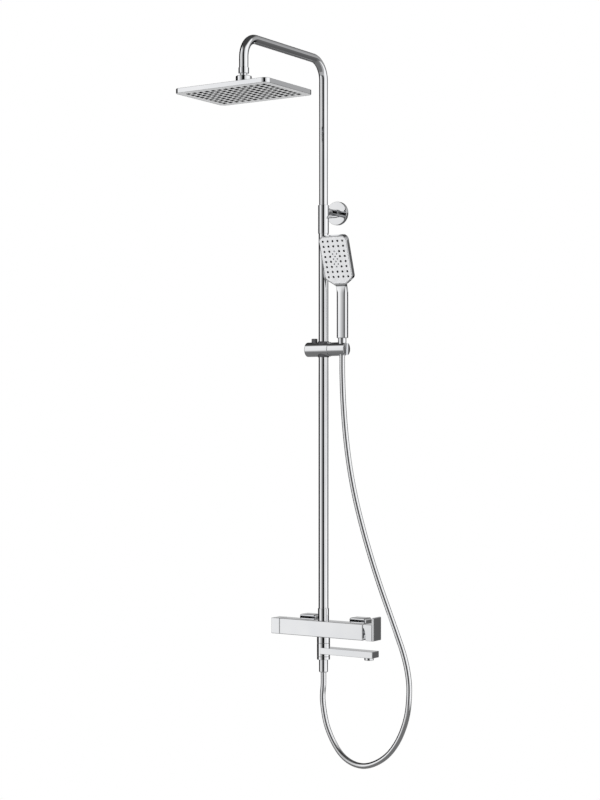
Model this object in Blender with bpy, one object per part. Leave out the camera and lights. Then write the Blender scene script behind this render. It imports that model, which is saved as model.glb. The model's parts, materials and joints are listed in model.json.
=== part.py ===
"""Rainfall shower column: wall bar mixer, telescopic riser with overhead arm and rain head,
hand shower on a sliding holder, swinging bath spout and a free hose.

Frame: the origin lies on the wall plane, midway between the two water inlets, at the height of
the mixer bar's centre line. +X runs along the wall, +Y goes into the wall, +Z is up. Metres.
"""

import math

import bmesh
import bpy
from mathutils import Matrix, Vector

GAP = 0.0003
COLUMN_Y = -0.072

# mixer bar
INLET_PITCH = 0.150
BAR_HEIGHT = 0.040
BAR_DEPTH = 0.0384
BAR_LEFT = -0.1212
BAR_RIGHT = 0.1266
BAR_TOP = BAR_HEIGHT / 2
BAR_BACK = COLUMN_Y + BAR_DEPTH / 2
CARTRIDGE_BORE = 0.0155
DIVERTER_BORE = 0.0145
KNOB_LEFT = -0.1466
LEVER_PIVOT_X = 0.1225
LEVER_HUB_END = 0.1530
LEVER_END = 0.1583
LEVER_TOP = 0.038
LEVER_GAP = 0.0012
LEVER_KNEE = 0.012
LEVER_HOLLOW = 0.0078

# wall unions
COVER_WIDTH = 0.048
COVER_HEIGHT = 0.054
COVER_DEPTH = 0.031
UNION_DROP = 0.006
SPIGOT_LENGTH = 0.012

# column
LOWER_PIPE_R = 0.0125
UPPER_PIPE_R = 0.011
PIPE_WALL = 0.0012
COLLAR_TOP = 0.0513
LOWER_PIPE_BOTTOM = 0.0289
LOWER_PIPE_TOP = 1.030
UPPER_PIPE_BOTTOM = 0.810
ARM_Z = 1.434
ARM_REACH = 0.350
BEND_R = 0.050
HEAD_Y = COLUMN_Y - ARM_REACH
ARM_TIP_Z = 1.352
ARM_BEND_STEPS = 7

# wall bracket
SLEEVE_BOTTOM = 0.998
SLEEVE_TOP = 1.070
SLEEVE_R = 0.01365
BRACKET_Z = 1.0556
LOCK_SCREW_Z = 1.039
ROSETTE_R = 0.030
ROSETTE_DEPTH = 0.010

# rain head
BALL_Z = 1.327
BALL_R = 0.0135
NUT_R = 0.019
HEAD_WIDTH = 0.265
HEAD_LENGTH = 0.198
HEAD_CORNER = 0.015
HEAD_TOP = 1.3078
HEAD_BOTTOM = 1.2965
NOZZLES_X = 13
NOZZLES_Y = 9
NOZZLE_PITCH = 0.018

# slider, holder and hand shower
SLIDER_Z = 0.7055
SLIDER_R = 0.0183
SLIDER_LEFT = -0.048
SLIDER_RIGHT = 0.020
HOLDER_R = 0.017
HOLDER_RIGHT = 0.069
HAND_X = 0.0557
BUTTON_X = -0.027
HANDLE_BOTTOM = 0.733
SPRING_STEPS = 9
CONE_BOTTOM = 0.689
FACE_TILT = math.radians(18)
FACE_FOOT = Vector((HAND_X, -0.0831, 0.8645))
HAND_HEAD_WIDTH = 0.081
HAND_HEAD_LENGTH = 0.126
HAND_HEAD_DEPTH = 0.017
CHIN_HALF_WIDTH = 0.0145
SHOULDER_SLOPE = 1.55
SHOULDER_BLEND = 0.014
HAND_PITCH_X = 0.0143
HAND_PITCH_Y = 0.0130

# spout and hose outlet
OUTLET_R = 0.0165
OUTLET_SEAM = -0.036
SPOUT_TOP = -0.047
SPOUT_BOTTOM = -0.063
SPOUT_START = 0.0005
SPOUT_END = 0.153
SPOUT_WIDTH = 0.0332
AERATOR_X = 0.134
OUTLET_BOTTOM = -0.078
HOSE_NUT_BOTTOM = -0.110
HOSE_R = 0.007
HOSE_POINTS = 54

# The hose hangs in the plane through the column and the hand shower: (X, Z) of each route point.
HOSE_ROUTE = [
    (0.000, -0.1103), (0.000, -0.140), (-0.002, -0.184), (0.011, -0.246), (0.040, -0.298),
    (0.073, -0.326), (0.114, -0.335), (0.155, -0.323), (0.193, -0.295), (0.223, -0.252),
    (0.243, -0.197), (0.249, -0.139), (0.245, -0.094), (0.233, -0.048), (0.215, -0.002),
    (0.190, 0.058), (0.163, 0.124), (0.139, 0.188), (0.117, 0.254), (0.095, 0.330),
    (0.078, 0.408), (0.066, 0.490), (0.059, 0.570), (0.056, 0.640), (HAND_X, 0.6885),
]

FINISHES = {
    "chrome": ((0.86, 0.87, 0.88, 1), 0.08, 1.0),
    "brass": ((0.78, 0.60, 0.30, 1), 0.30, 1.0),
    "steel": ((0.60, 0.61, 0.62, 1), 0.25, 1.0),
    "rubber": ((0.03, 0.03, 0.035, 1), 0.60, 0.0),
    "plastic": ((0.12, 0.12, 0.13, 1), 0.45, 0.0),
    "ceramic_white": ((0.85, 0.86, 0.86, 1), 0.35, 0.0),
    "face_grey": ((0.82, 0.83, 0.84, 1), 0.35, 0.0),
    "hose_silver": ((0.70, 0.71, 0.73, 1), 0.25, 0.6),
}

PIVOTS = {}
BORE_TWIST = 0.11


# ---------------------------------------------------------------- helpers


def clear_scene():
    for obj in list(bpy.data.objects):
        bpy.data.objects.remove(obj)


def material(name, finish):
    colour, roughness, metallic = FINISHES[finish]
    made = bpy.data.materials.new(name)
    made.use_nodes = True
    shader = made.node_tree.nodes["Principled BSDF"]
    shader.inputs["Base Color"].default_value = colour
    shader.inputs["Roughness"].default_value = roughness
    shader.inputs["Metallic"].default_value = metallic
    return made


def pivot(name, at, parent=None):
    """An empty on a joint's axis, which carries the pieces that move about it."""
    empty = bpy.data.objects.new(name + "_pivot", None)
    base = PIVOTS[parent][1] if parent else Vector()
    empty.location = Vector(at) - base
    if parent:
        empty.parent = PIVOTS[parent][0]
    bpy.context.collection.objects.link(empty)
    PIVOTS[name] = (empty, Vector(at))


def piece(name, mesh_builder, finish, body=None):
    """Turns a bmesh in world coordinates into a named object under its body's pivot."""
    mesh = bpy.data.meshes.new(name)
    if body:
        bmesh.ops.translate(mesh_builder, vec=-PIVOTS[body][1], verts=mesh_builder.verts)
    mesh_builder.to_mesh(mesh)
    mesh_builder.free()
    obj = bpy.data.objects.new(name, mesh)
    bpy.context.collection.objects.link(obj)
    mesh.materials.append(material(name, finish))
    if body:
        obj.parent = PIVOTS[body][0]
    mesh.shade_smooth()
    mesh.set_sharp_from_angle(angle=math.radians(35))
    return obj


def combine(obj, tool, operation="DIFFERENCE"):
    """Cuts, or joins, the object with a bmesh given in world coordinates."""
    mesh = bpy.data.meshes.new("tool")
    tool.to_mesh(mesh)
    tool.free()
    cutter = bpy.data.objects.new("tool", mesh)
    cutter.hide_render = True
    cutter.display_type = "WIRE"
    bpy.context.collection.objects.link(cutter)
    step = obj.modifiers.new(operation.lower(), "BOOLEAN")
    step.operation = operation
    step.solver = "EXACT"
    step.object = cutter
    bpy.context.view_layer.update()
    graph = bpy.context.evaluated_depsgraph_get()
    result = bpy.data.meshes.new_from_object(obj.evaluated_get(graph))
    obj.modifiers.clear()
    obj.data = result
    result.shade_smooth()
    result.set_sharp_from_angle(angle=math.radians(35))
    bpy.data.objects.remove(cutter)


def cut(obj, *tools):
    for tool in tools:
        combine(obj, tool)


def join(obj, *tools):
    for tool in tools:
        combine(obj, tool, "UNION")


def merged(parts):
    """One bmesh that holds several separate bodies, to cut them all at once."""
    whole = bmesh.new()
    for part in parts:
        spare = bpy.data.meshes.new("spare")
        part.to_mesh(spare)
        part.free()
        whole.from_mesh(spare)
        bpy.data.meshes.remove(spare)
    return whole


AXES = {
    "Z": Matrix.Identity(4),
    "X": Matrix(((0, 0, 1, 0), (1, 0, 0, 0), (0, 1, 0, 0), (0, 0, 0, 1))),
    "Y": Matrix(((1, 0, 0, 0), (0, 0, 1, 0), (0, -1, 0, 0), (0, 0, 0, 1))),
}


def turned(profile, axis="Z", at=(0, 0, 0), sides=16, twist=0.0):
    """Revolves a closed outline of (radius, distance along axis); twist turns its first corner."""
    shape = bmesh.new()
    rings = []
    for radius, along in profile:
        if radius == 0:
            rings.append([shape.verts.new((0, 0, along))])
            continue
        ring = []
        for k in range(sides):
            angle = 2 * math.pi * k / sides + twist
            ring.append(shape.verts.new((radius * math.cos(angle), radius * math.sin(angle), along)))
        rings.append(ring)
    for low, high in zip(rings, rings[1:] + rings[:1]):
        if len(low) == 1 and len(high) == 1:
            continue
        for k in range(sides):
            n = (k + 1) % sides
            if len(low) == 1:
                shape.faces.new((low[0], high[n], high[k]))
            elif len(high) == 1:
                shape.faces.new((low[k], low[n], high[0]))
            else:
                shape.faces.new((low[k], low[n], high[n], high[k]))
    bmesh.ops.transform(shape, matrix=Matrix.Translation(at) @ AXES[axis], verts=shape.verts)
    bmesh.ops.recalc_face_normals(shape, faces=shape.faces)
    return shape


def rod(radius, start, end, axis="Z", at=(0, 0, 0), sides=16, end_radius=None, twist=0.0):
    last = radius if end_radius is None else end_radius
    return turned([(0, start), (radius, start), (last, end), (0, end)], axis, at, sides, twist)


def bore(radius, start, end, axis="Z", at=(0, 0, 0), sides=12, end_radius=None):
    """A cutting rod, turned a little so that its corners miss those of the piece it cuts."""
    return rod(radius, start, end, axis, at, sides, end_radius, BORE_TWIST)


def ring(outer, inner, start, end, axis="Z", at=(0, 0, 0), sides=16):
    profile = [(inner, start), (outer, start), (outer, end), (inner, end)]
    return turned(profile, axis, at, sides)


def block(low, high, bevel=0.0, segments=2):
    shape = bmesh.new()
    size = Vector(high) - Vector(low)
    centre = (Vector(high) + Vector(low)) / 2
    bmesh.ops.create_cube(shape, size=1)
    bmesh.ops.scale(shape, vec=size, verts=shape.verts)
    bmesh.ops.translate(shape, vec=centre, verts=shape.verts)
    if bevel:
        bmesh.ops.bevel(
            shape, geom=shape.edges[:], offset=bevel, segments=segments, profile=0.5, affect="EDGES"
        )
    return shape


def extruded(outline, depth, placing, bevel=0.0):
    """A flat (x, y) outline pushed along +Z by depth, then placed by a matrix."""
    shape = bmesh.new()
    base = [shape.verts.new((x, y, 0)) for x, y in outline]
    face = shape.faces.new(base)
    made = bmesh.ops.extrude_face_region(shape, geom=[face])
    top = [v for v in made["geom"] if isinstance(v, bmesh.types.BMVert)]
    bmesh.ops.translate(shape, vec=(0, 0, depth), verts=top)
    if bevel:
        rim = [e for e in shape.edges if all(v in top for v in e.verts)]
        bmesh.ops.bevel(shape, geom=rim, offset=bevel, segments=2, profile=0.5, affect="EDGES")
    bmesh.ops.transform(shape, matrix=placing, verts=shape.verts)
    bmesh.ops.recalc_face_normals(shape, faces=shape.faces)
    return shape


def rounded_outline(width, height, radius, steps=4):
    outline = []
    for quarter, (sx, sy) in enumerate(((1, 1), (-1, 1), (-1, -1), (1, -1))):
        for k in range(steps + 1):
            angle = math.pi / 2 * (quarter + k / steps)
            x = sx * (width / 2 - radius) + radius * math.cos(angle)
            outline.append((x, sy * (height / 2 - radius) + radius * math.sin(angle)))
    return outline


def smooth_route(points, count):
    """Points evenly spaced along a Catmull-Rom curve through the route."""
    padded = [2 * points[0] - points[1]] + points + [2 * points[-1] - points[-2]]
    dense = []
    for a, b, c, d in zip(padded, padded[1:], padded[2:], padded[3:]):
        for k in range(24):
            t = k / 24
            dense.append(
                0.5 * (2 * b + (c - a) * t + (2 * a - 5 * b + 4 * c - d) * t * t
                       + (3 * b - a - 3 * c + d) * t * t * t)
            )
    dense.append(points[-1])
    lengths = [0.0]
    for a, b in zip(dense, dense[1:]):
        lengths.append(lengths[-1] + (b - a).length)
    even, at = [], 0
    for k in range(count):
        goal = lengths[-1] * k / (count - 1)
        while at < len(dense) - 2 and lengths[at + 1] < goal:
            at += 1
        share = (goal - lengths[at]) / (lengths[at + 1] - lengths[at])
        even.append(dense[at].lerp(dense[at + 1], share))
    return even


def bent_tube(path, outer, inner, sides=16):
    """A hollow tube along a path that stays in the plane X = 0."""
    shape = bmesh.new()
    across = Vector((1, 0, 0))
    skins = []
    for radius in (outer, inner):
        skin = []
        for k, point in enumerate(path):
            ahead = path[min(k + 1, len(path) - 1)] - path[max(k - 1, 0)]
            up = ahead.normalized().cross(across)
            loop = []
            for s in range(sides):
                angle = 2 * math.pi * s / sides
                offset = across * math.cos(angle) + up * math.sin(angle)
                loop.append(shape.verts.new(point + offset * radius))
            skin.append(loop)
        skins.append(skin)
    for skin in skins:
        for low, high in zip(skin, skin[1:]):
            for s in range(sides):
                n = (s + 1) % sides
                shape.faces.new((low[s], low[n], high[n], high[s]))
    for end in (0, -1):
        for s in range(sides):
            n = (s + 1) % sides
            shape.faces.new((skins[0][end][s], skins[0][end][n], skins[1][end][n], skins[1][end][s]))
    bmesh.ops.recalc_face_normals(shape, faces=shape.faces)
    return shape


# ---------------------------------------------------------------- mixer bar


def make_bar():
    bar = piece("bar_body", block(
        (BAR_LEFT, COLUMN_Y - BAR_DEPTH / 2, -BAR_TOP), (BAR_RIGHT, BAR_BACK, BAR_TOP), 0.0012
    ), "chrome")
    for side in (-1, 1):
        at = (side * INLET_PITCH / 2, 0, 0)
        join(bar, rod(0.0120, BAR_BACK - 0.002, BAR_BACK + SPIGOT_LENGTH, "Y", at))
    line = (0, COLUMN_Y, 0)
    waterway = turned([
        (0, BAR_LEFT - 0.002), (DIVERTER_BORE, BAR_LEFT - 0.002), (DIVERTER_BORE, -0.064),
        (0.007, -0.064), (0.007, 0.064), (CARTRIDGE_BORE, 0.064),
        (CARTRIDGE_BORE, BAR_RIGHT + 0.002), (0, BAR_RIGHT + 0.002)
    ], "X", line, 16, BORE_TWIST)
    cut(bar, waterway, bore(0.010, -BAR_TOP - 0.002, BAR_TOP + 0.002, "Z", line))
    for side in (-1, 1):
        at = (side * INLET_PITCH / 2, 0, 0)
        cut(bar, bore(0.0085, COLUMN_Y + 0.003, BAR_BACK + SPIGOT_LENGTH + 0.002, "Y", at))


def make_cartridges():
    line = (0, COLUMN_Y, 0)
    piece("mixing_cartridge", turned([
        (0, 0.0860), (0.0120, 0.0860), (0.0152, 0.0890), (0.0152, 0.1170), (0, 0.1170)
    ], "X", line), "ceramic_white")
    piece("cartridge_retainer", ring(0.0152, 0.0090, 0.1173, 0.1263, "X", line), "brass")
    piece("diverter_cartridge", turned([
        (0, -0.1085), (0.0142, -0.1085), (0.0142, -0.0830), (0.0105, -0.0800), (0, -0.0800)
    ], "X", line), "ceramic_white")
    piece("diverter_retainer", ring(0.0142, 0.0060, -0.1208, -0.1092, "X", line), "brass")
    for name, side in (("left", -1), ("right", 1)):
        at = (side * INLET_PITCH / 2, 0, 0)
        piece(f"check_valve_{name}", turned([
            (0.0035, -0.0500), (0.0082, -0.0500), (0.0082, -0.0430), (0.0035, -0.0430)
        ], "Y", at, 16), "plastic")


def make_unions(name, side):
    """One wall connection: S-union, washer with filter, union nut and the cover at the wall."""
    x = side * INLET_PITCH / 2
    end = BAR_BACK + SPIGOT_LENGTH
    piece(f"filter_washer_{name}", ring(
        0.0115, 0.0060, end + GAP, end + 0.0023, "Y", (x, 0, 0), 16), "rubber")
    pipe = piece(f"s_union_{name}", turned([
        (0, end + 0.0026), (0.0120, end + 0.0026), (0.0120, end + 0.0056),
        (0.0092, end + 0.0056), (0.0092, -0.0180), (0, -0.0180)
    ], "Y", (x, 0, 0), 14), "brass")
    join(pipe, rod(0.0150, -0.0210, -0.0150, "Y", (x, 0, -UNION_DROP / 2), 6))
    join(pipe, rod(0.0102, -0.0160, 0.0120, "Y", (x, 0, -UNION_DROP), 14))
    cut(pipe, bore(0.0060, -0.0600, -0.0170, "Y", (x, 0, 0), 12))
    cut(pipe, rod(0.0065, -0.0190, 0.0140, "Y", (x, 0, -UNION_DROP), 13))
    nut = piece(f"union_nut_{name}", rod(
        0.0160, BAR_BACK + 0.0040, end + 0.0080, "Y", (x, 0, 0), 6), "chrome")
    cut(nut, turned([
        (0, BAR_BACK), (0.0123, BAR_BACK), (0.0123, end + 0.0060), (0.0096, end + 0.0060),
        (0.0096, end + 0.0100), (0, end + 0.0100)
    ], "Y", (x, 0, 0), 16, BORE_TWIST))
    cover = piece(f"union_cover_{name}", extruded(
        rounded_outline(COVER_WIDTH, COVER_HEIGHT, 0.006), COVER_DEPTH,
        Matrix.Translation((x, 0, 0)) @ Matrix.Rotation(math.radians(90), 4, "X"), 0.003
    ), "chrome")
    cut(cover, extruded(
        rounded_outline(COVER_WIDTH - 0.005, COVER_HEIGHT - 0.005, 0.0045), COVER_DEPTH - 0.0005,
        Matrix.Translation((x, 0.002, 0)) @ Matrix.Rotation(math.radians(90), 4, "X")
    ))
    cut(cover, bore(0.0130, -COVER_DEPTH - 0.004, -COVER_DEPTH + 0.004, "Y", (x, 0, 0), 20))


def make_diverter_knob():
    knob = piece("diverter_knob", block(
        (KNOB_LEFT, COLUMN_Y - BAR_DEPTH / 2, -BAR_TOP), (BAR_LEFT - GAP, BAR_BACK, BAR_TOP), 0.0012
    ), "chrome", "diverter_knob")
    line = (0, COLUMN_Y, 0)
    cut(knob, bore(0.0050, -0.1365, -0.1190, "X", line, 16))
    piece("diverter_stem", rod(0.0047, -0.1362, -0.1088, "X", line, 16), "brass", "diverter_knob")


def make_lever():
    line = (0, COLUMN_Y, 0)
    piece("cartridge_spindle", ring(
        0.0086, 0.0063, 0.1177, 0.1262, "X", line), "steel", "lever_turn")
    # side view of the hub: the lower left corner is hollowed so that the lever can tilt
    left = BAR_RIGHT + LEVER_GAP
    outline = [(left, BAR_TOP), (left, LEVER_KNEE)]
    for k in range(1, 6):
        angle = math.radians(90 * k / 5)
        drop = (LEVER_KNEE + BAR_TOP) * (1 - math.cos(angle))
        outline.append((left + LEVER_HOLLOW * math.sin(angle), LEVER_KNEE - drop))
    outline += [(LEVER_HUB_END, -BAR_TOP), (LEVER_HUB_END, BAR_TOP)]
    placing = Matrix.Translation((0, BAR_BACK, 0)) @ Matrix.Rotation(math.radians(90), 4, "X")
    hub = piece("lever_hub", extruded(outline, BAR_DEPTH, placing), "chrome", "lever")
    soften(hub, 0.0008)
    half = 0.0038
    cut(
        hub,
        block((0.120, COLUMN_Y - half, -half), (0.1475, COLUMN_Y + half, half)),
        bore(0.0025, -BAR_TOP - 0.002, 0, "Z", (0.1450, COLUMN_Y, 0), 12),
    )
    half = 0.0035
    piece("lever_stem", block(
        (0.1187, COLUMN_Y - half, -half), (0.1470, COLUMN_Y + half, half)), "steel", "lever")
    piece("lever_grub_screw", rod(
        0.0022, -0.0190, -0.0039, "Z", (0.1450, COLUMN_Y, 0), 12), "steel", "lever")
    piece("lever_plate", block(
        (LEVER_HUB_END + GAP, COLUMN_Y - BAR_DEPTH / 2, -BAR_TOP),
        (LEVER_END, BAR_BACK, LEVER_TOP), 0.0012
    ), "chrome", "lever")


def soften(obj, width):
    """A small bevel on the sharp edges of a block."""
    step = obj.modifiers.new("soft edges", "BEVEL")
    step.width = width
    step.segments = 2
    step.limit_method = "ANGLE"
    step.angle_limit = math.radians(50)
    bpy.context.view_layer.update()
    graph = bpy.context.evaluated_depsgraph_get()
    result = bpy.data.meshes.new_from_object(obj.evaluated_get(graph))
    obj.modifiers.clear()
    obj.data = result


# ---------------------------------------------------------------- column


def make_column():
    line = (0, COLUMN_Y, 0)
    piece("column_collar", turned([
        (0.0070, 0.0060), (0.0097, 0.0060), (0.0097, BAR_TOP + GAP), (0.0139, BAR_TOP + GAP),
        (0.0139, COLLAR_TOP - 0.001), (0.0135, COLLAR_TOP), (0.0129, COLLAR_TOP),
        (0.0129, 0.0263), (0.0070, 0.0263)
    ], "Z", line, 24), "chrome")
    piece("collar_seal", ring(0.0123, 0.0090, 0.0266, 0.0286, "Z", line), "rubber")
    piece("lower_pipe", ring(
        LOWER_PIPE_R, LOWER_PIPE_R - PIPE_WALL, LOWER_PIPE_BOTTOM, LOWER_PIPE_TOP, "Z", line, 24
    ), "chrome")


def make_bracket():
    line = (0, COLUMN_Y, 0)
    step = LOWER_PIPE_TOP + 0.0035
    sleeve = piece("bracket_sleeve", rod(SLEEVE_R, SLEEVE_BOTTOM, SLEEVE_TOP, "Z", line, 24), "chrome")
    at = (0, 0, BRACKET_Z)
    join(sleeve, turned([
        (0, COLUMN_Y + 0.009), (0.0092, COLUMN_Y + 0.009), (0.0092, -0.0480),
        (0.0082, -0.0440), (0.0082, -0.0180), (0, -0.0180)
    ], "Y", at))
    low_r, high_r = LOWER_PIPE_R + 0.0004, UPPER_PIPE_R + 0.0004
    cut(
        sleeve,
        turned([
            (0, SLEEVE_BOTTOM - 0.002), (low_r, SLEEVE_BOTTOM - 0.002), (low_r, step),
            (high_r, step), (high_r, SLEEVE_TOP + 0.002), (0, SLEEVE_TOP + 0.002)
        ], "Z", line, 24, BORE_TWIST),
        bore(0.0063, -0.0450, -0.0150, "Y", at, 16),
        bore(0.0024, 0.0050, 0.0200, "X", (0, COLUMN_Y, LOCK_SCREW_Z), 12),
    )
    piece("neck_ring", ring(0.0100, 0.0064, -0.0177, -ROSETTE_DEPTH - 0.0006, "Y", at, 28), "chrome")
    front = -ROSETTE_DEPTH - GAP
    piece("bracket_rosette", turned([
        (0.0066, front), (ROSETTE_R - 0.0015, front), (ROSETTE_R, front + 0.0015), (ROSETTE_R, 0),
        (ROSETTE_R - 0.0018, 0), (ROSETTE_R - 0.0018, front + 0.0018), (0.0066, front + 0.0018)
    ], "Y", at, 32), "chrome")
    plate = piece("bracket_wall_plate", turned([
        (0, -0.0440), (0.0060, -0.0440), (0.0060, -0.0045), (0.0240, -0.0045), (0.0240, 0), (0, 0)
    ], "Y", at, 24, BORE_TWIST), "steel")
    for name, side in (("lower", -1), ("upper", 1)):
        spot = (0, 0, BRACKET_Z + side * 0.0155)
        cut(plate, bore(0.0025, -0.0100, 0.0050, "Y", spot, 16))
        piece(f"wall_screw_{name}", turned([
            (0, -0.0078), (0.0032, -0.0078), (0.0042, -0.0062), (0.0042, -0.0048),
            (0.0021, -0.0048), (0.0021, 0.0280), (0, 0.0320)
        ], "Y", spot, 16), "steel")
    piece("height_lock_screw", turned([
        (0, 0.0113), (0.0020, 0.0113), (0.0020, 0.0142), (0.0032, 0.0142),
        (0.0032, 0.0390), (0.0022, 0.0410), (0, 0.0416)
    ], "X", (0, COLUMN_Y, LOCK_SCREW_Z), 20), "chrome", "lock_screw")


def arm_path():
    """Centre line of the upper pipe: up, over and down, with two quarter bends."""
    path = [Vector((0, COLUMN_Y, UPPER_PIPE_BOTTOM))]
    bends = (
        (Vector((0, COLUMN_Y - BEND_R, ARM_Z - BEND_R)), 0),
        (Vector((0, HEAD_Y + BEND_R, ARM_Z - BEND_R)), 90),
    )
    for centre, start in bends:
        for k in range(ARM_BEND_STEPS + 1):
            angle = math.radians(start + 90 * k / ARM_BEND_STEPS)
            path.append(centre + BEND_R * Vector((0, math.cos(angle), math.sin(angle))))
    path.append(Vector((0, HEAD_Y, ARM_TIP_Z)))
    return path


def make_riser():
    line = (0, COLUMN_Y, 0)
    top = UPPER_PIPE_BOTTOM - GAP
    piece("guide_bush", turned([
        (0.0085, top - 0.016), (0.0105, top - 0.016), (0.0110, top - 0.015), (0.0110, top), (0.0085, top)
    ], "Z", line), "plastic", "riser")
    inner = UPPER_PIPE_R - PIPE_WALL
    piece("riser_arm", bent_tube(arm_path(), UPPER_PIPE_R, inner), "chrome", "arm")
    drop = (0, HEAD_Y, 0)
    piece("arm_collar", turned([
        (0.0060, 1.3450), (0.0120, 1.3450), (0.0125, 1.3460), (0.0125, 1.3590),
        (0.0113, 1.3590), (0.0113, 1.3517), (0.0060, 1.3517)
    ], "Z", drop), "chrome", "arm")
    profile = [(0.0045, BALL_Z - math.sqrt(BALL_R**2 - 0.0045**2))]
    neck = 0.0082
    low, high = math.asin(0.0045 / BALL_R), math.pi - math.asin(neck / BALL_R)
    for k in range(1, 7):
        angle = low + (high - low) * k / 6
        profile.append((BALL_R * math.sin(angle), BALL_Z - BALL_R * math.cos(angle)))
    profile += [(neck, 1.3447), (0.0045, 1.3447)]
    piece("ball_stud", turned(profile, "Z", drop), "chrome", "arm")


def make_rain_head():
    drop = (0, HEAD_Y, 0)
    outer, inner = BALL_R + 0.0014, BALL_R + GAP
    low, high = -0.0085, 0.0025
    profile = []
    for k in range(4):
        height = low + (high - low) * k / 3
        profile.append((math.sqrt(outer**2 - height**2), BALL_Z + height))
    for k in range(4):
        height = high + (low - high) * k / 3
        profile.append((math.sqrt(inner**2 - height**2), BALL_Z + height))
    piece("ball_seat", turned(profile, "Z", drop), "plastic", "head_gimbal")
    piece("swivel_nut", turned([
        (0.0152, HEAD_TOP + GAP), (NUT_R, HEAD_TOP + GAP), (NUT_R, BALL_Z + 0.0105),
        (NUT_R - 0.0015, BALL_Z + 0.0120), (0.0123, BALL_Z + 0.0120), (0.0123, BALL_Z + 0.0065),
        (0.0152, BALL_Z + 0.0065)
    ], "Z", drop, 32), "chrome", "rain_head")
    at = Matrix.Translation((0, HEAD_Y, HEAD_BOTTOM))
    shell = piece("rain_head_shell", extruded(
        rounded_outline(HEAD_WIDTH, HEAD_LENGTH, HEAD_CORNER), HEAD_TOP - HEAD_BOTTOM, at, 0.0015
    ), "chrome", "rain_head")
    join(shell, rod(0.0149, HEAD_TOP - 0.001, HEAD_TOP + 0.0040, "Z", drop))
    recess = Matrix.Translation((0, HEAD_Y, HEAD_BOTTOM - 0.002))
    cut(shell, extruded(
        rounded_outline(HEAD_WIDTH - 0.005, HEAD_LENGTH - 0.005, HEAD_CORNER - 0.0025), 0.0113, recess))
    cut(shell, bore(0.0100, HEAD_BOTTOM, HEAD_TOP + 0.006, "Z", drop))
    plate_top = HEAD_BOTTOM + 0.0020
    plate = piece("rain_spray_plate", extruded(
        rounded_outline(HEAD_WIDTH - 0.0058, HEAD_LENGTH - 0.0058, HEAD_CORNER - 0.003),
        plate_top - HEAD_BOTTOM, at
    ), "chrome", "rain_head")
    spots = [
        ((i - (NOZZLES_X - 1) / 2) * NOZZLE_PITCH, HEAD_Y + (j - (NOZZLES_Y - 1) / 2) * NOZZLE_PITCH)
        for i in range(NOZZLES_X) for j in range(NOZZLES_Y)
    ]
    cut(plate, merged([
        rod(0.0030, HEAD_BOTTOM - 0.001, plate_top + 0.001, "Z", (x, y, 0), 4) for x, y in spots
    ]))
    low = plate_top + GAP
    mat = piece("rain_nozzle_mat", extruded(
        rounded_outline(HEAD_WIDTH - 0.012, HEAD_LENGTH - 0.012, HEAD_CORNER - 0.006, 2), 0.0015,
        Matrix.Translation((0, HEAD_Y, low))
    ), "rubber", "rain_head")
    join(mat, merged([
        rod(0.0015, HEAD_BOTTOM - 0.0012, low + 0.0007, "Z", (x, y, 0), 4, 0.0024) for x, y in spots
    ]))


# ---------------------------------------------------------------- slider and hand shower


def make_slider():
    along = (0, COLUMN_Y, SLIDER_Z)
    line = (0, COLUMN_Y, 0)
    body = piece("slider_body", turned([
        (0, SLIDER_LEFT + 0.0023), (SLIDER_R, SLIDER_LEFT + 0.0023), (SLIDER_R, SLIDER_RIGHT - 0.0005),
        (SLIDER_R - 0.0005, SLIDER_RIGHT), (0, SLIDER_RIGHT)
    ], "X", along, 28), "chrome", "slider")
    cut(
        body,
        bore(0.0147, SLIDER_Z - 0.025, SLIDER_Z + 0.025, "Z", line, 24),
        bore(0.0140, SLIDER_LEFT - 0.002, -0.0205, "X", along, 20),
        block((BUTTON_X - 0.0068, COLUMN_Y - 0.0053, SLIDER_Z + 0.008),
              (BUTTON_X + 0.0068, COLUMN_Y + 0.0053, SLIDER_Z + 0.022)),
        bore(0.0048, -0.0230, -0.0100, "X", along, 12),
    )
    piece("slider_bush", ring(
        0.0143, LOWER_PIPE_R + 0.0004, SLIDER_Z - 0.0200, SLIDER_Z + 0.0200, "Z", line, 24
    ), "plastic", "slider")
    piece("slider_end_cap", turned([
        (0, SLIDER_LEFT), (SLIDER_R - 0.002, SLIDER_LEFT), (SLIDER_R, SLIDER_LEFT + 0.0012),
        (SLIDER_R, SLIDER_LEFT + 0.0020), (0.0137, SLIDER_LEFT + 0.0020),
        (0.0137, SLIDER_LEFT + 0.0060), (0, SLIDER_LEFT + 0.0060)
    ], "X", along, 28), "chrome", "slider")
    piece("release_button", block(
        (BUTTON_X - 0.0063, COLUMN_Y - 0.0048, SLIDER_Z + 0.0015),
        (BUTTON_X + 0.0063, COLUMN_Y + 0.0048, SLIDER_Z + 0.0275), 0.0008
    ), "plastic", "release_button")
    coil("button_spring", (BUTTON_X, COLUMN_Y), SLIDER_Z - 0.0118, SLIDER_Z + 0.0005, 0.0035, 0.0006, 4)


def coil(name, centre, low, high, radius, wire, turns):
    """The compression spring that lifts the release button."""
    count = turns * SPRING_STEPS + 1
    curve = bpy.data.curves.new(name, "CURVE")
    curve.dimensions = "3D"
    curve.bevel_depth = wire
    curve.bevel_resolution = 0
    curve.use_fill_caps = True
    spline = curve.splines.new("POLY")
    spline.points.add(count - 1)
    base = PIVOTS["slider"][1]
    for k, point in enumerate(spline.points):
        angle = 2 * math.pi * k / SPRING_STEPS
        height = low + wire + (high - low - 2 * wire) * k / (count - 1)
        place = Vector((centre[0] + radius * math.cos(angle), centre[1] + radius * math.sin(angle), height))
        point.co = (*(place - base), 1)
    obj = bpy.data.objects.new(name, curve)
    bpy.context.collection.objects.link(obj)
    curve.materials.append(material(name, "steel"))
    obj.parent = PIVOTS["slider"][0]


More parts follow.
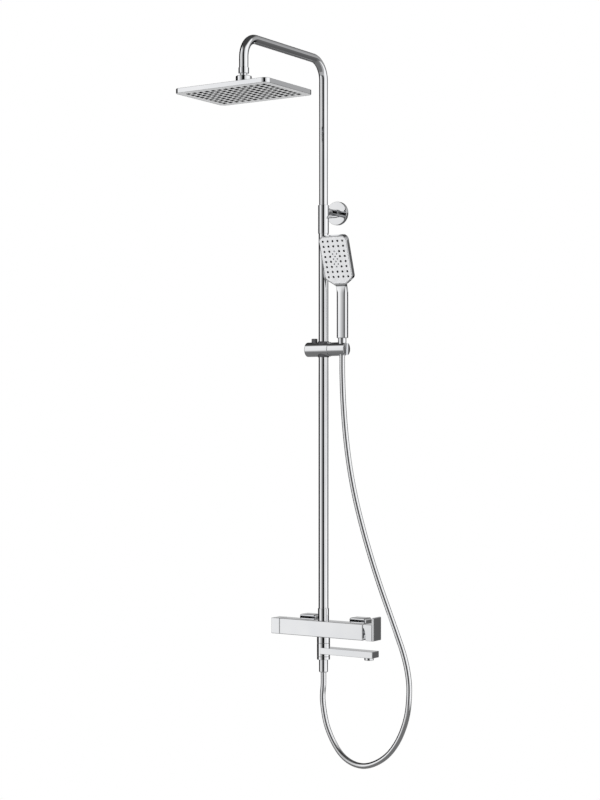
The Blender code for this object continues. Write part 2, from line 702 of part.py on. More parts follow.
def make_holder():
    along = (0, COLUMN_Y, SLIDER_Z)
    socket = (HAND_X, COLUMN_Y, 0)
    start = SLIDER_RIGHT + GAP
    holder = piece("handset_holder", turned([
        (0, start), (HOLDER_R, start), (HOLDER_R, HOLDER_RIGHT - 0.0008),
        (HOLDER_R - 0.0008, HOLDER_RIGHT), (0, HOLDER_RIGHT)
    ], "X", along, 28), "chrome", "holder")
    low, high = SLIDER_Z - HOLDER_R - 0.002, SLIDER_Z + HOLDER_R + 0.002
    cut(
        holder,
        bore(0.0095, low, high, "Z", socket, 20, 0.0115),
        block((HAND_X, COLUMN_Y - 0.0075, low), (HOLDER_RIGHT + 0.002, COLUMN_Y + 0.0075, high)),
    )


def hand_face(x, up, depth=0.0):
    """A point on the hand shower's face: across, up the face, and depth behind it."""
    rise = Vector((0, -math.sin(FACE_TILT), math.cos(FACE_TILT)))
    back = Vector((0, math.cos(FACE_TILT), math.sin(FACE_TILT)))
    return FACE_FOOT + Vector((x, 0, 0)) + rise * up + back * depth


def face_frame(up, depth):
    """The matrix that takes (across, up the face, out of the front) to the world."""
    origin = hand_face(0, up, depth)
    rise = Vector((0, -math.sin(FACE_TILT), math.cos(FACE_TILT)))
    front = Vector((0, -math.cos(FACE_TILT), -math.sin(FACE_TILT)))
    across = Vector((1, 0, 0))
    frame = Matrix((across, rise, front)).transposed().to_4x4()
    frame.translation = origin
    return frame


def head_half_width(up):
    """Half width of the flat head: straight sloping shoulders, softly joined; round top corners."""
    full = HAND_HEAD_WIDTH / 2
    corner = 0.013
    sloping = CHIN_HALF_WIDTH + up * SHOULDER_SLOPE
    if up < 0.05:
        near = max(0.0, 1 - abs(sloping - full) / SHOULDER_BLEND)
        return min(sloping, full) - near * near * SHOULDER_BLEND / 4
    if up > HAND_HEAD_LENGTH - corner:
        rise = up - (HAND_HEAD_LENGTH - corner)
        return full - corner + math.sqrt(max(0.0, corner**2 - rise**2))
    return full


def head_outline(inset):
    """The outline of the face, inset from the head's rim, counterclockwise from the lower right."""
    stops = [0.0006, 0.005, 0.012, 0.0145, 0.017, 0.0195, 0.023, 0.113, 0.1165, 0.1205, 0.1238, 0.1255]
    right = []
    for up in stops:
        squeezed = inset + up * (HAND_HEAD_LENGTH - 2 * inset) / HAND_HEAD_LENGTH
        right.append((head_half_width(up) - inset, squeezed))
    return right + [(-x, up) for x, up in reversed(right)]


def section(half_width, half_depth, corner, centre, tilt, steps=3):
    """One rounded rectangular section of the hand shower, as points in the world."""
    back = Vector((0, math.cos(tilt), math.sin(tilt)))
    corner = min(corner, half_width * 0.95, half_depth * 0.95)
    points = []
    for x, y in rounded_outline(2 * half_width, 2 * half_depth, corner, steps):
        points.append(centre + Vector((x, 0, 0)) + back * y)
    return points


def make_hand_shower():
    sections = []
    for z in (HANDLE_BOTTOM, HANDLE_BOTTOM + 0.0015, 0.780, 0.830, 0.8445):
        inset = 0.001 if z == HANDLE_BOTTOM else 0.0
        centre = Vector((HAND_X, COLUMN_Y, z))
        sections.append(section(0.0140 - inset, 0.0090 - inset, 0.005, centre, 0.0))
    centre = hand_face(0, -0.0080, HAND_HEAD_DEPTH / 2 + 0.0005)
    sections.append(section(0.0140, 0.0088, 0.005, centre, FACE_TILT * 0.6))
    for up in (0.0, 0.005, 0.012, 0.0145, 0.017, 0.0195, 0.023, 0.060, 0.113, 0.1165, 0.1205, 0.1238, 0.1260):
        inset = 0.0012 if up > 0.125 else 0.0
        centre = hand_face(0, up, HAND_HEAD_DEPTH / 2)
        half = head_half_width(min(up, 0.1252))
        sections.append(section(half, HAND_HEAD_DEPTH / 2 - inset, 0.0045, centre, FACE_TILT))
    shape = bmesh.new()
    rings = [[shape.verts.new(p) for p in points] for points in sections]
    for low, high in zip(rings, rings[1:]):
        for k in range(len(low)):
            n = (k + 1) % len(low)
            shape.faces.new((low[k], low[n], high[n], high[k]))
    shape.faces.new(rings[0])
    shape.faces.new(rings[-1])
    bmesh.ops.recalc_face_normals(shape, faces=shape.faces)
    shell = piece("handset_shell", shape, "chrome", "handset")
    socket = (HAND_X, COLUMN_Y, 0)
    join(shell, ring(0.0070, 0.0035, 0.7225, HANDLE_BOTTOM + 0.002, "Z", socket, 20))
    cut(shell, extruded(head_outline(0.0018), 0.0090, face_frame(0, 0.0070)))
    channel = bore(0.0042, -0.002, 0.046, "Z", (0, 0, 0), 12)
    lean = Matrix.Rotation(math.radians(16), 4, "X")
    place = Matrix.Translation((HAND_X, COLUMN_Y, 0.8465)) @ lean
    bmesh.ops.transform(channel, matrix=place, verts=channel.verts)
    cut(
        shell,
        bore(0.0035, 0.7200, 0.7400, "Z", socket, 12),
        bore(0.0042, 0.7380, 0.8485, "Z", socket, 13),
        channel,
    )
    spots, jets = hand_nozzles()
    face = piece("handset_spray_face", extruded(
        head_outline(0.0021), 0.0026, face_frame(0, 0.0028)), "face_grey", "handset")
    cut(face, merged(
        [placed_rod(x, up, 0.0023, -0.001, 0.004, 0.0028) for x, up in spots]
        + [placed_rod(x, up, 0.0010, -0.001, 0.004, 0.0028) for x, up in jets]
    ))
    mat = piece("handset_nozzle_mat", extruded(
        head_outline(0.0045), 0.0012, face_frame(0, 0.0043)), "rubber", "handset")
    join(mat, merged([placed_rod(x, up, 0.0018, 0.0007, 0.0048, 0.0043, 0.0012) for x, up in spots]))
    piece("cone_nut", turned([
        (0.0073, CONE_BOTTOM), (0.0088, CONE_BOTTOM), (0.0107, SLIDER_Z + HOLDER_R + 0.002),
        (0.0107, HANDLE_BOTTOM - GAP), (0.0073, HANDLE_BOTTOM - GAP), (0.0073, 0.7200),
        (0.0050, 0.7200), (0.0050, 0.7140), (0.0073, 0.7120)
    ], "Z", socket, 24), "chrome", "handset")
    piece("handset_seal", ring(0.0069, 0.0038, 0.7203, 0.7222, "Z", socket, 20), "rubber", "handset")


def placed_rod(x, up, radius, start, end, depth, end_radius=None):
    """A small pin square to the hand shower's face, from start to end in front of the depth."""
    pin = rod(radius, start, end, "Z", (x, up, 0), 4, end_radius)
    bmesh.ops.transform(pin, matrix=face_frame(0, depth), verts=pin.verts)
    return pin


def hand_nozzles():
    """The rubber nozzles, five across and eight up, and the cluster of fine jets amid them."""
    first = 0.0222
    spots = []
    for row in range(8):
        for column in range(5):
            if column == 2 and 2 <= row <= 5:
                continue
            spots.append(((column - 2) * HAND_PITCH_X, first + row * HAND_PITCH_Y))
    jets = []
    for k in range(7):
        up = first + 2 * HAND_PITCH_Y + k * HAND_PITCH_Y / 2
        jets += [(0.0, up)] if k % 2 == 0 else [(-0.0058, up), (0.0058, up)]
    return spots, jets


# ---------------------------------------------------------------- spout, hose outlet and hose


def make_outlet():
    line = (0, COLUMN_Y, 0)
    piece("outlet_body", turned([
        (0.0060, -0.0896), (0.0097, -0.0896), (0.0097, -0.0697), (0.0115, -0.0697),
        (0.0115, OUTLET_SEAM), (OUTLET_R, OUTLET_SEAM), (OUTLET_R, -BAR_TOP - GAP),
        (0.0097, -BAR_TOP - GAP), (0.0097, -0.0060), (0.0060, -0.0060)
    ], "Z", line, 24), "chrome")
    collar = rod(OUTLET_R, -0.0697, OUTLET_SEAM - GAP, "Z", line, 28)
    spout = piece("spout", collar, "chrome", "spout")
    half = SPOUT_WIDTH / 2
    join(spout, block(
        (SPOUT_START, COLUMN_Y - half, SPOUT_BOTTOM), (SPOUT_END, COLUMN_Y + half, SPOUT_TOP), 0.001))
    mid = (SPOUT_TOP + SPOUT_BOTTOM) / 2
    cut(
        spout,
        bore(0.0119, -0.0720, -0.0340, "Z", line, 24),
        bore(0.0055, 0.0050, AERATOR_X, "X", (0, COLUMN_Y, mid), 12),
        bore(0.0090, SPOUT_BOTTOM - 0.002, mid + 0.003, "Z", (AERATOR_X, COLUMN_Y, 0), 20),
    )
    at = (AERATOR_X, COLUMN_Y, 0)
    piece("aerator_housing", turned([
        (0.0080, -0.0700), (0.0112, -0.0700), (0.01175, -0.0693), (0.01175, SPOUT_BOTTOM - GAP),
        (0.0086, SPOUT_BOTTOM - GAP), (0.0086, SPOUT_BOTTOM + 0.0050), (0.0080, SPOUT_BOTTOM + 0.0050)
    ], "Z", at, 20), "chrome", "spout")
    piece("aerator_insert", rod(0.0077, -0.0692, -0.0640, "Z", at, 20), "plastic", "spout")
    piece("outlet_retaining_ring", ring(
        OUTLET_R, 0.0100, OUTLET_BOTTOM, -0.0700, "Z", line, 28), "chrome")
    piece("hose_nut", turned([
        (0.0050, HOSE_NUT_BOTTOM), (0.0105, HOSE_NUT_BOTTOM), (0.01135, HOSE_NUT_BOTTOM + 0.001),
        (0.01135, OUTLET_BOTTOM - GAP), (0.0100, OUTLET_BOTTOM - GAP), (0.0100, -0.0925),
        (0.0050, -0.0925)
    ], "Z", line, 24), "chrome")
    piece("hose_washer", ring(0.0094, 0.0052, -0.0922, -0.0899, "Z", line, 20), "rubber")


def make_hose():
    route = [Vector((x, COLUMN_Y, z)) for x, z in HOSE_ROUTE]
    curve = bpy.data.curves.new("hose", "CURVE")
    curve.dimensions = "3D"
    curve.bevel_depth = HOSE_R
    curve.bevel_resolution = 2
    curve.use_fill_caps = True
    spline = curve.splines.new("POLY")
    spline.points.add(HOSE_POINTS - 1)
    for point, place in zip(spline.points, smooth_route(route, HOSE_POINTS)):
        point.co = (*place, 1)
    obj = bpy.data.objects.new("hose", curve)
    bpy.context.collection.objects.link(obj)
    curve.materials.append(material("hose", "hose_silver"))


def make_pivots():
    pivot("diverter_knob", (BAR_LEFT, COLUMN_Y, 0))
    pivot("lever_turn", (LEVER_PIVOT_X, COLUMN_Y, 0))
    pivot("lever", (LEVER_PIVOT_X, COLUMN_Y, 0), "lever_turn")
    pivot("spout", (0, COLUMN_Y, (SPOUT_TOP + SPOUT_BOTTOM) / 2))
    pivot("lock_screw", (SLEEVE_R, COLUMN_Y, LOCK_SCREW_Z))
    pivot("riser", (0, COLUMN_Y, UPPER_PIPE_BOTTOM))
    pivot("arm", (0, COLUMN_Y, ARM_Z), "riser")
    pivot("head_gimbal", (0, HEAD_Y, BALL_Z), "arm")
    pivot("rain_head", (0, HEAD_Y, BALL_Z), "head_gimbal")
    pivot("slider", (0, COLUMN_Y, SLIDER_Z))
    pivot("release_button", (BUTTON_X, COLUMN_Y, SLIDER_Z), "slider")
    pivot("holder", (HAND_X, COLUMN_Y, SLIDER_Z), "slider")
    pivot("handset", (HAND_X, COLUMN_Y, SLIDER_Z), "holder")


def main():
    clear_scene()
    make_pivots()
    make_bar()
    make_cartridges()
    make_unions("left", -1)
    make_unions("right", 1)
    make_diverter_knob()
    make_lever()
    make_column()
    make_bracket()
    make_riser()
    make_rain_head()
    make_slider()
    make_holder()
    make_hand_shower()
    make_outlet()
    make_hose()


main()
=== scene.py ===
"""Looks of the rainfall shower column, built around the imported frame. Metres, +Z up.

The column hangs on a wall that isn't shown: +X runs along the wall, +Y goes into it.
"""

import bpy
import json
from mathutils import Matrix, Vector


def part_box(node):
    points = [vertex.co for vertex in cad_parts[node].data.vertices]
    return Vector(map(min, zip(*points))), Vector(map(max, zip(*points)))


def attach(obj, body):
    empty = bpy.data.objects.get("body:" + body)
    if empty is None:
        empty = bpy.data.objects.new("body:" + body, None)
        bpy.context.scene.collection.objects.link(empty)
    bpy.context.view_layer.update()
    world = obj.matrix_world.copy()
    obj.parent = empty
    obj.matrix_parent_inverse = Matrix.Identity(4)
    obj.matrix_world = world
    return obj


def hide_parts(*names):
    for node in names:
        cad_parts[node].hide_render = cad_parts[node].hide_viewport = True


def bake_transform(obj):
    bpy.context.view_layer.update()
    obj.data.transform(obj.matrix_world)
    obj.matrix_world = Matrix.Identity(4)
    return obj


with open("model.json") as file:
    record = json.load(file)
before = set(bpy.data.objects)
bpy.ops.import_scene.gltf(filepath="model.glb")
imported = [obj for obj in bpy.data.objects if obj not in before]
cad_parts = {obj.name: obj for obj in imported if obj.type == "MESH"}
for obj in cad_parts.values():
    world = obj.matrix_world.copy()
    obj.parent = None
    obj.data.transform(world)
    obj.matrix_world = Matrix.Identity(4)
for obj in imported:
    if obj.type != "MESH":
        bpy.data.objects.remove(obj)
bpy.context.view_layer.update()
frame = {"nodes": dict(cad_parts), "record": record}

import json
import math

import bmesh
import bpy
from mathutils import Matrix, Vector

# camera: level, to the right of the column's front
CAMERA_PLACE = Vector((2.348, -3.756, 0.539))
CAMERA_TURN = math.radians(33.29)
CAMERA_LENS = 77.74
CAMERA_SHIFT = 0.0191
CAMERA_REACH = 200

# studio, as the chrome mirrors it: greys are 0 to 255, turns are degrees from the camera's
# direction, and heights are sines of the elevation
FLOOR_Z = -1.10
FLOOR_SIZE = 5.0
FLOOR_GREY = 112
CHROME_SHARE = 0.85
PANELS = (
    (-180, 16), (-140, 6), (-94, 6), (-88, 250), (-66, 232), (-62, 214), (-24, 118),
    (-19, 16), (13, 14), (17, 212), (40, 224), (48, 250), (98, 250), (103, 110),
    (119, 84), (124, 14), (180, 20),
)
# beyond RIGHT_END the ring changes with height: (from height, to height, last turn, grey)
RIGHT_END = 100
UPPER_RIGHT = ((0.10, 0.14, 122, 165), (0.24, 0.32, 130, 158))
CEILING_EDGE, CEILING_GREY = (0.62, 0.80), 62
GROUND_EDGE = (-0.34, -0.24)
GROUND_TURN, GROUND_FRONT, GROUND_BEHIND = (-0.2, 0.4), 165, 88
# bright bands straight behind the column: (low, high, grey)
SWEEPS = ((-0.215, -0.150, 204), (0.030, 0.170, 178))
SWEEP_EDGE = 0.015
SWEEP_BEHIND = (0.82, 0.93)
LAMP_PLACE, LAMP_AIM = Vector((0.3, -3.2, 0.2)), Vector((0, 0, 0.7))
LAMP_SIZE, LAMP_POWER = 2.4, 70

# finer shapes than the CAD solids
FINE = 96
SOFT_EDGE = 0.0007
BEND_R = 0.050
BEND_STEPS = 24
GAP = 0.0003
PIPE_WALL = 0.0012

# mixer bar
BAR_EDGE = 0.0016
KNOB_EDGE = 0.0013
INLET_NECK = 0.012
COVER_CORNER = 0.006
COVER_WALL = 0.0025
COVER_BORE = 0.0130
LEVER_KNEE = 0.012
LEVER_HOLLOW = 0.0078
LEVER_EDGE = 0.0017

# hose: (X, Z) of each route point, in the plane of the column and the hand shower
HOSE_ROUTE = [
    (0.000, -0.1103), (0.000, -0.140), (-0.002, -0.184), (0.011, -0.246), (0.040, -0.298),
    (0.073, -0.326), (0.114, -0.335), (0.155, -0.323), (0.193, -0.295), (0.223, -0.252),
    (0.243, -0.197), (0.249, -0.139), (0.245, -0.094), (0.233, -0.048), (0.215, -0.002),
    (0.190, 0.058), (0.163, 0.124), (0.139, 0.188), (0.117, 0.254), (0.095, 0.330),
    (0.078, 0.408), (0.066, 0.490), (0.059, 0.570), (0.056, 0.640), (0.0557, 0.6885),
]
HOSE_R = 0.007
HOSE_STEP = 0.003
HOSE_SIDES = 32
HOSE_BEND_START = 0.665
HOSE_NUT_MOUTH = 0.6887
HOSE_TOP = 0.7118
HOSE_BORE = 0.0073
HOSE_WINDING = 0.0042

# rain head and hand shower
RAIN_CORNER = 0.015
RAIN_PITCH = 0.018
RAIN_NOZZLES = (13, 9)
FACE_TILT = math.radians(18)
HEAD_WIDTH = 0.081
HEAD_LENGTH = 0.126
HEAD_DEPTH = 0.017
FACE_FOOT = (-0.0831, 0.8645)
CHIN_HALF_WIDTH = 0.0145
SHOULDER_SLOPE = 1.55
SHOULDER_BLEND = 0.009
TOP_CORNER = 0.013
HAND_PITCH = (0.0143, 0.0130)
HAND_FIRST_ROW = 0.0222
HAND_BACK_R = 0.0055
HEAD_FRONT_R = 0.0016
HANDLE_HALF_WIDTH = 0.0148
HANDLE_HALF_DEPTH = 0.0074
HANDLE_FRONT_R = 0.0048
HANDLE_CROWN = 0.0036
HANDLE_SET_BACK = 0.0016
HANDLE_RIM = 0.0012
HANDLE_STOPS = (0.750, 0.770, 0.790, 0.810, 0.825, 0.832, 0.839)
HANDLE_TOP = 0.842
NECK_TAPER = 0.0014

# release key's spring
SPRING_WIRE = 0.0005
SPRING_TURNS = 4


# ---- node helpers


def add(tree, kind, **settings):
    made = tree.nodes.new(kind)
    for key, value in settings.items():
        setattr(made, key, value)
    return made


def feed(tree, value, socket):
    """Links another node's output to the socket, or sets a plain value."""
    if isinstance(value, bpy.types.NodeSocket):
        tree.links.new(value, socket)
    else:
        socket.default_value = value


def math_node(tree, operation, *values):
    made = add(tree, "ShaderNodeMath", operation=operation)
    for socket, value in zip(made.inputs, values):
        feed(tree, value, socket)
    return made.outputs["Value"]


def noise(tree, scale, detail):
    """A noise pattern fixed to the piece; scale is in waves per metre."""
    place = add(tree, "ShaderNodeTexCoord")
    pattern = add(tree, "ShaderNodeTexNoise")
    pattern.inputs["Scale"].default_value = scale
    pattern.inputs["Detail"].default_value = detail
    tree.links.new(place.outputs["Object"], pattern.inputs["Vector"])
    return pattern.outputs["Fac"]


def ramp(tree, source, stops):
    """A colour ramp; a stop is (position, grey or colour)."""
    made = add(tree, "ShaderNodeValToRGB")
    elements = made.color_ramp.elements
    while len(elements) < len(stops):
        elements.new(0.5)
    for element, (position, colour) in zip(elements, stops):
        element.position = position
        shade = (colour,) * 3 if isinstance(colour, (int, float)) else colour
        element.color = (*shade, 1)
    tree.links.new(source, made.inputs["Fac"])
    return made.outputs["Color"]


def mapped(tree, source, low, high, start=0.3, end=0.7):
    """Stretches start to end, by default where most of a noise lies, to low to high."""
    made = add(tree, "ShaderNodeMapRange")
    made.inputs["From Min"].default_value = start
    made.inputs["From Max"].default_value = end
    made.inputs["To Min"].default_value = low
    made.inputs["To Max"].default_value = high
    tree.links.new(source, made.inputs["Value"])
    return made.outputs["Result"]


def mixed(tree, factor, first, second):
    """A blend of two colours; a plain number stands for a grey."""
    made = add(tree, "ShaderNodeMix", data_type="RGBA")
    tree.links.new(factor, made.inputs["Factor"])
    for name, value in (("A", first), ("B", second)):
        colour = (value, value, value, 1) if isinstance(value, float) else value
        feed(tree, colour, made.inputs[name])
    return made.outputs["Result"]


def bumped(tree, shader, source, strength, distance):
    bump = add(tree, "ShaderNodeBump")
    bump.inputs["Strength"].default_value = strength
    bump.inputs["Distance"].default_value = distance
    tree.links.new(source, bump.inputs["Height"])
    tree.links.new(bump.outputs["Normal"], shader.inputs["Normal"])


# ---- materials


def new_material(name):
    made = bpy.data.materials.new(name)
    made.use_nodes = True
    return made, made.node_tree, made.node_tree.nodes["Principled BSDF"]


def surfaced(name, dark, light, rough, metallic=0.0, *, patch, grain, bump, levels=()):
    """A finish whose colour drifts from dark to light in patches, with a fine grain in its gloss."""
    made, tree, shader = new_material(name)
    shader.inputs["Metallic"].default_value = metallic
    for socket, level in levels:
        shader.inputs[socket].default_value = level
    drift = noise(tree, patch, 2.0)
    tree.links.new(ramp(tree, drift, [(0.3, dark), (0.7, light)]), shader.inputs["Base Color"])
    fine = noise(tree, grain, 4.0)
    tree.links.new(mapped(tree, fine, *rough), shader.inputs["Roughness"])
    bumped(tree, shader, fine, *bump)
    return made


def chrome_material():
    """Polished chrome plate: a clear mirror with a trace of polishing haze."""
    return surfaced(
        "polished_chrome", (0.80, 0.81, 0.83), (0.85, 0.855, 0.865), (0.014, 0.030), 1.0,
        patch=14.0, grain=500.0, bump=(0.003, 0.00002))


def satin_material():
    """The plated spray plate of the rain head, a duller mirror than the chrome."""
    return surfaced(
        "satin_chrome", (0.78, 0.79, 0.80), (0.85, 0.855, 0.865), (0.09, 0.13), 1.0,
        patch=25.0, grain=700.0, bump=(0.01, 0.00002))


def brass_material():
    return surfaced(
        "turned_brass", (0.60, 0.42, 0.17), (0.76, 0.57, 0.28), (0.22, 0.38), 1.0,
        patch=90.0, grain=1500.0, bump=(0.10, 0.00005))


def steel_material():
    return surfaced(
        "satin_steel", (0.48, 0.49, 0.50), (0.62, 0.63, 0.64), (0.20, 0.34), 1.0,
        patch=120.0, grain=2200.0, bump=(0.10, 0.00004))


def rubber_material(name="dark_silicone", dark=0.006, light=0.016):
    return surfaced(
        name, (dark, dark, dark * 1.1), (light, light, light * 1.1), (0.48, 0.62),
        patch=160.0, grain=2500.0, bump=(0.15, 0.00005), levels=[("Specular IOR Level", 0.22)])


def plastic_material():
    return surfaced(
        "moulded_acetal", (0.045, 0.045, 0.05), (0.085, 0.085, 0.09), (0.35, 0.50),
        patch=120.0, grain=3000.0, bump=(0.20, 0.00006))


def ceramic_material():
    return surfaced(
        "cartridge_white", (0.78, 0.79, 0.79), (0.87, 0.88, 0.88), (0.28, 0.40),
        patch=100.0, grain=2500.0, bump=(0.12, 0.00005))


def face_material():
    """Pale grey spray face, moulded with a very fine satin texture."""
    return surfaced(
        "pale_spray_face", (0.77, 0.775, 0.79), (0.83, 0.835, 0.85), (0.26, 0.36),
        patch=60.0, grain=2600.0, bump=(0.10, 0.00004),
        levels=[("Coat Weight", 0.25), ("Coat Roughness", 0.12)])


def hose_material():
    """A silver strip wound under a clear smooth skin; the winding shows as faint slanting bands."""
    made, tree, shader = new_material("silver_hose")
    place = add(tree, "ShaderNodeUVMap", uv_map="along")
    parts = add(tree, "ShaderNodeSeparateXYZ")
    tree.links.new(place.outputs["UV"], parts.inputs["Vector"])
    turns = math_node(tree, "MULTIPLY", parts.outputs["Y"], 1 / HOSE_WINDING)
    phase = math_node(tree, "FRACT", math_node(tree, "ADD", turns, parts.outputs["X"]))
    band = ramp(tree, phase, [
        (0.0, (0.66, 0.665, 0.68)), (0.06, (0.78, 0.785, 0.80)), (0.50, (0.86, 0.865, 0.875)),
        (0.94, (0.78, 0.785, 0.80)), (1.0, (0.66, 0.665, 0.68))])
    tree.links.new(band, shader.inputs["Base Color"])
    gloss = mapped(tree, noise(tree, 900.0, 3.0), 0.06, 0.10)
    tree.links.new(gloss, shader.inputs["Roughness"])
    shader.inputs["Metallic"].default_value = 1.0
    shader.inputs["Coat Weight"].default_value = 0.15
    shader.inputs["Coat Roughness"].default_value = 0.05
    return made


SATIN = satin_material()
JETS = rubber_material("grey_jets", 0.13, 0.20)
BY_SLOT = {
    "chrome": chrome_material(),
    "brass": brass_material(),
    "steel": steel_material(),
    "rubber": rubber_material(),
    "plastic": plastic_material(),
    "cartridge_white": ceramic_material(),
    "spray_face": face_material(),
    "hose_silver": hose_material(),
}


def paint(obj, material):
    obj.data.materials.clear()
    obj.data.materials.append(material)


def dress_cad_nodes():
    """Every CAD node gets its slot's material, also those that a finer piece then replaces."""
    for part in frame["record"]["subparts"]:
        paint(frame["nodes"][part["node"]], BY_SLOT[part["material_slot"]])


# ---- mesh helpers


AXES = {
    "Z": Matrix.Identity(4),
    "X": Matrix(((0, 0, 1, 0), (1, 0, 0, 0), (0, 1, 0, 0), (0, 0, 0, 1))),
    "Y": Matrix(((1, 0, 0, 0), (0, 0, 1, 0), (0, -1, 0, 0), (0, 0, 0, 1))),
}


def in_scene(name, data):
    obj = bpy.data.objects.new(name, data)
    bpy.context.scene.collection.objects.link(obj)
    return obj


def to_object(name, shape, sharp=40):
    bmesh.ops.recalc_face_normals(shape, faces=shape.faces)
    mesh = bpy.data.meshes.new(name)
    shape.to_mesh(mesh)
    shape.free()
    mesh.shade_smooth()
    mesh.set_sharp_from_angle(angle=math.radians(sharp))
    return in_scene(name, mesh)


def even_shading(obj):
    """Flat faces stay flat in reflections, beside their rounded edges."""
    step = obj.modifiers.new("even shading", "WEIGHTED_NORMAL")
    step.mode = "FACE_AREA"
    step.weight = 100
    step.keep_sharp = True


def dressed(obj, slot, *nodes, material=None):
    """Gives a finished piece its looks and lets it stand for its CAD nodes."""
    paint(obj, material or BY_SLOT[slot])
    if nodes:
        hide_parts(*nodes)


def placed(obj, body, slot, *nodes, material=None):
    """Dresses a finished piece and ties it to its body."""
    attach(obj, body)
    dressed(obj, slot, *nodes, material=material)
    return obj


def chromed(obj, body, *nodes):
    return placed(obj, body, "chrome", *nodes)


def ring_profile(inner, outer, low, high):
    """The outline of a plain ring or, with no inner radius, of a disc."""
    return [(inner, low), (outer, low), (outer, high), (inner, high)]


def rounded_corners(profile, radius, steps=5):
    """The closed profile with each corner off the axis turned into a small curve."""
    result = []
    count = len(profile)
    for k, corner in enumerate(profile):
        here = Vector(corner)
        if here.x == 0 or radius == 0:
            result.append(tuple(here))
            continue
        before, after = Vector(profile[k - 1]), Vector(profile[(k + 1) % count])
        trim = min(radius, 0.45 * (before - here).length, 0.45 * (after - here).length)
        first = here + (before - here).normalized() * trim
        last = here + (after - here).normalized() * trim
        for s in range(steps + 1):
            t = s / steps
            result.append(tuple((1 - t) ** 2 * first + 2 * t * (1 - t) * here + t * t * last))
    return result


def turned_shape(profile, axis="Z", at=(0, 0, 0), sides=FINE):
    """Revolves a closed outline of (radius, distance along the axis)."""
    shape = bmesh.new()
    rings = []
    for radius, along in profile:
        if radius == 0:
            rings.append([shape.verts.new((0, 0, along))])
            continue
        angles = [2 * math.pi * k / sides for k in range(sides)]
        rings.append([
            shape.verts.new((radius * math.cos(a), radius * math.sin(a), along)) for a in angles])
    for low, high in zip(rings, rings[1:] + rings[:1]):
        if len(low) == 1 and len(high) == 1:
            continue
        for k in range(sides):
            n = (k + 1) % sides
            if len(low) == 1:
                shape.faces.new((low[0], high[n], high[k]))
            elif len(high) == 1:
                shape.faces.new((low[k], low[n], high[0]))
            else:
                shape.faces.new((low[k], low[n], high[n], high[k]))
    bmesh.ops.transform(shape, matrix=Matrix.Translation(at) @ AXES[axis], verts=shape.verts)
    return shape


def turned(name, profile, axis="Z", at=(0, 0, 0), edge=SOFT_EDGE, sides=FINE):
    obj = to_object(name, turned_shape(rounded_corners(profile, edge), axis, at, sides))
    even_shading(obj)
    return obj


def line_of(node, axis):
    """The centre line, radius, start and end of a CAD node that is turned about an axis."""
    low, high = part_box(node)
    k = "XYZ".index(axis)
    middle = (low + high) / 2
    middle[k] = 0
    size = high - low
    radius = max(size[i] for i in range(3) if i != k) / 2
    return middle, radius, low[k], high[k]


def block_shape(low, high, edge=SOFT_EDGE, segments=4):
    shape = bmesh.new()
    bmesh.ops.create_cube(shape, size=1)
    bmesh.ops.scale(shape, vec=Vector(high) - Vector(low), verts=shape.verts)
    bmesh.ops.translate(shape, vec=(Vector(high) + Vector(low)) / 2, verts=shape.verts)
    if edge:
        bmesh.ops.bevel(shape, geom=shape.edges[:], offset=edge, segments=segments, profile=0.5,
                        affect="EDGES")
    return shape


def block(name, low, high, edge=SOFT_EDGE):
    obj = to_object(name, block_shape(low, high, edge), 60)
    even_shading(obj)
    return obj


def rounded_rectangle(width, height, radius, steps=10):
    outline = []
    for quarter, (sx, sy) in enumerate(((1, 1), (-1, 1), (-1, -1), (1, -1))):
        for k in range(steps + 1):
            angle = math.pi / 2 * (quarter + k / steps)
            x = sx * (width / 2 - radius) + radius * math.cos(angle)
            outline.append((x, sy * (height / 2 - radius) + radius * math.sin(angle)))
    return outline


def skin(shape, rings):
    """Faces between rings of points, one after the other, and one face on each end."""
    for low, high in zip(rings, rings[1:]):
        for k in range(len(low)):
            n = (k + 1) % len(low)
            shape.faces.new((low[k], low[n], high[n], high[k]))
    shape.faces.new(rings[0])
    shape.faces.new(rings[-1])


def stacked_shape(outline_at, levels, placing):
    """A solid whose outline is given at each level: (inset, height). Both ends are closed."""
    shape = bmesh.new()
    rings = []
    for inset, height in levels:
        rings.append([shape.verts.new((x, y, height)) for x, y in outline_at(inset)])
    skin(shape, rings)
    bmesh.ops.transform(shape, matrix=placing, verts=shape.verts)
    return shape


def quarter_turn(steps):
    return [math.pi / 2 * k / steps for k in range(steps + 1)]


def edge_levels(low, high, low_edge, high_edge, steps=5):
    """Levels of a plate from low to high, with its rims rounded by quarter circles."""
    levels = []
    for angle in quarter_turn(steps):
        levels.append((low_edge * (1 - math.sin(angle)), low + low_edge * (1 - math.cos(angle))))
    for angle in quarter_turn(steps):
        levels.append((high_edge * (1 - math.cos(angle)), high - high_edge * (1 - math.sin(angle))))
    return levels


def merged(shapes):
    whole = bmesh.new()
    for shape in shapes:
        spare = bpy.data.meshes.new("spare")
        shape.to_mesh(spare)
        shape.free()
        whole.from_mesh(spare)
        bpy.data.meshes.remove(spare)
    return whole


def combine(obj, tool, operation="DIFFERENCE", sharp=35):
    """Cuts, or joins, the object with a shape, and keeps the result as its mesh."""
    cutter = to_object("tool", tool)
    step = obj.modifiers.new("combine", "BOOLEAN")
    step.operation = operation
    step.solver = "EXACT"
    step.object = cutter
    others = [m for m in obj.modifiers if m != step]
    for other in others:
        other.show_viewport = False
    bpy.context.view_layer.update()
    graph = bpy.context.evaluated_depsgraph_get()
    result = bpy.data.meshes.new_from_object(obj.evaluated_get(graph))
    for other in others:
        other.show_viewport = True
    obj.modifiers.remove(step)
    obj.data = result
    result.shade_smooth()
    result.set_sharp_from_angle(angle=math.radians(sharp))
    bpy.data.objects.remove(cutter)


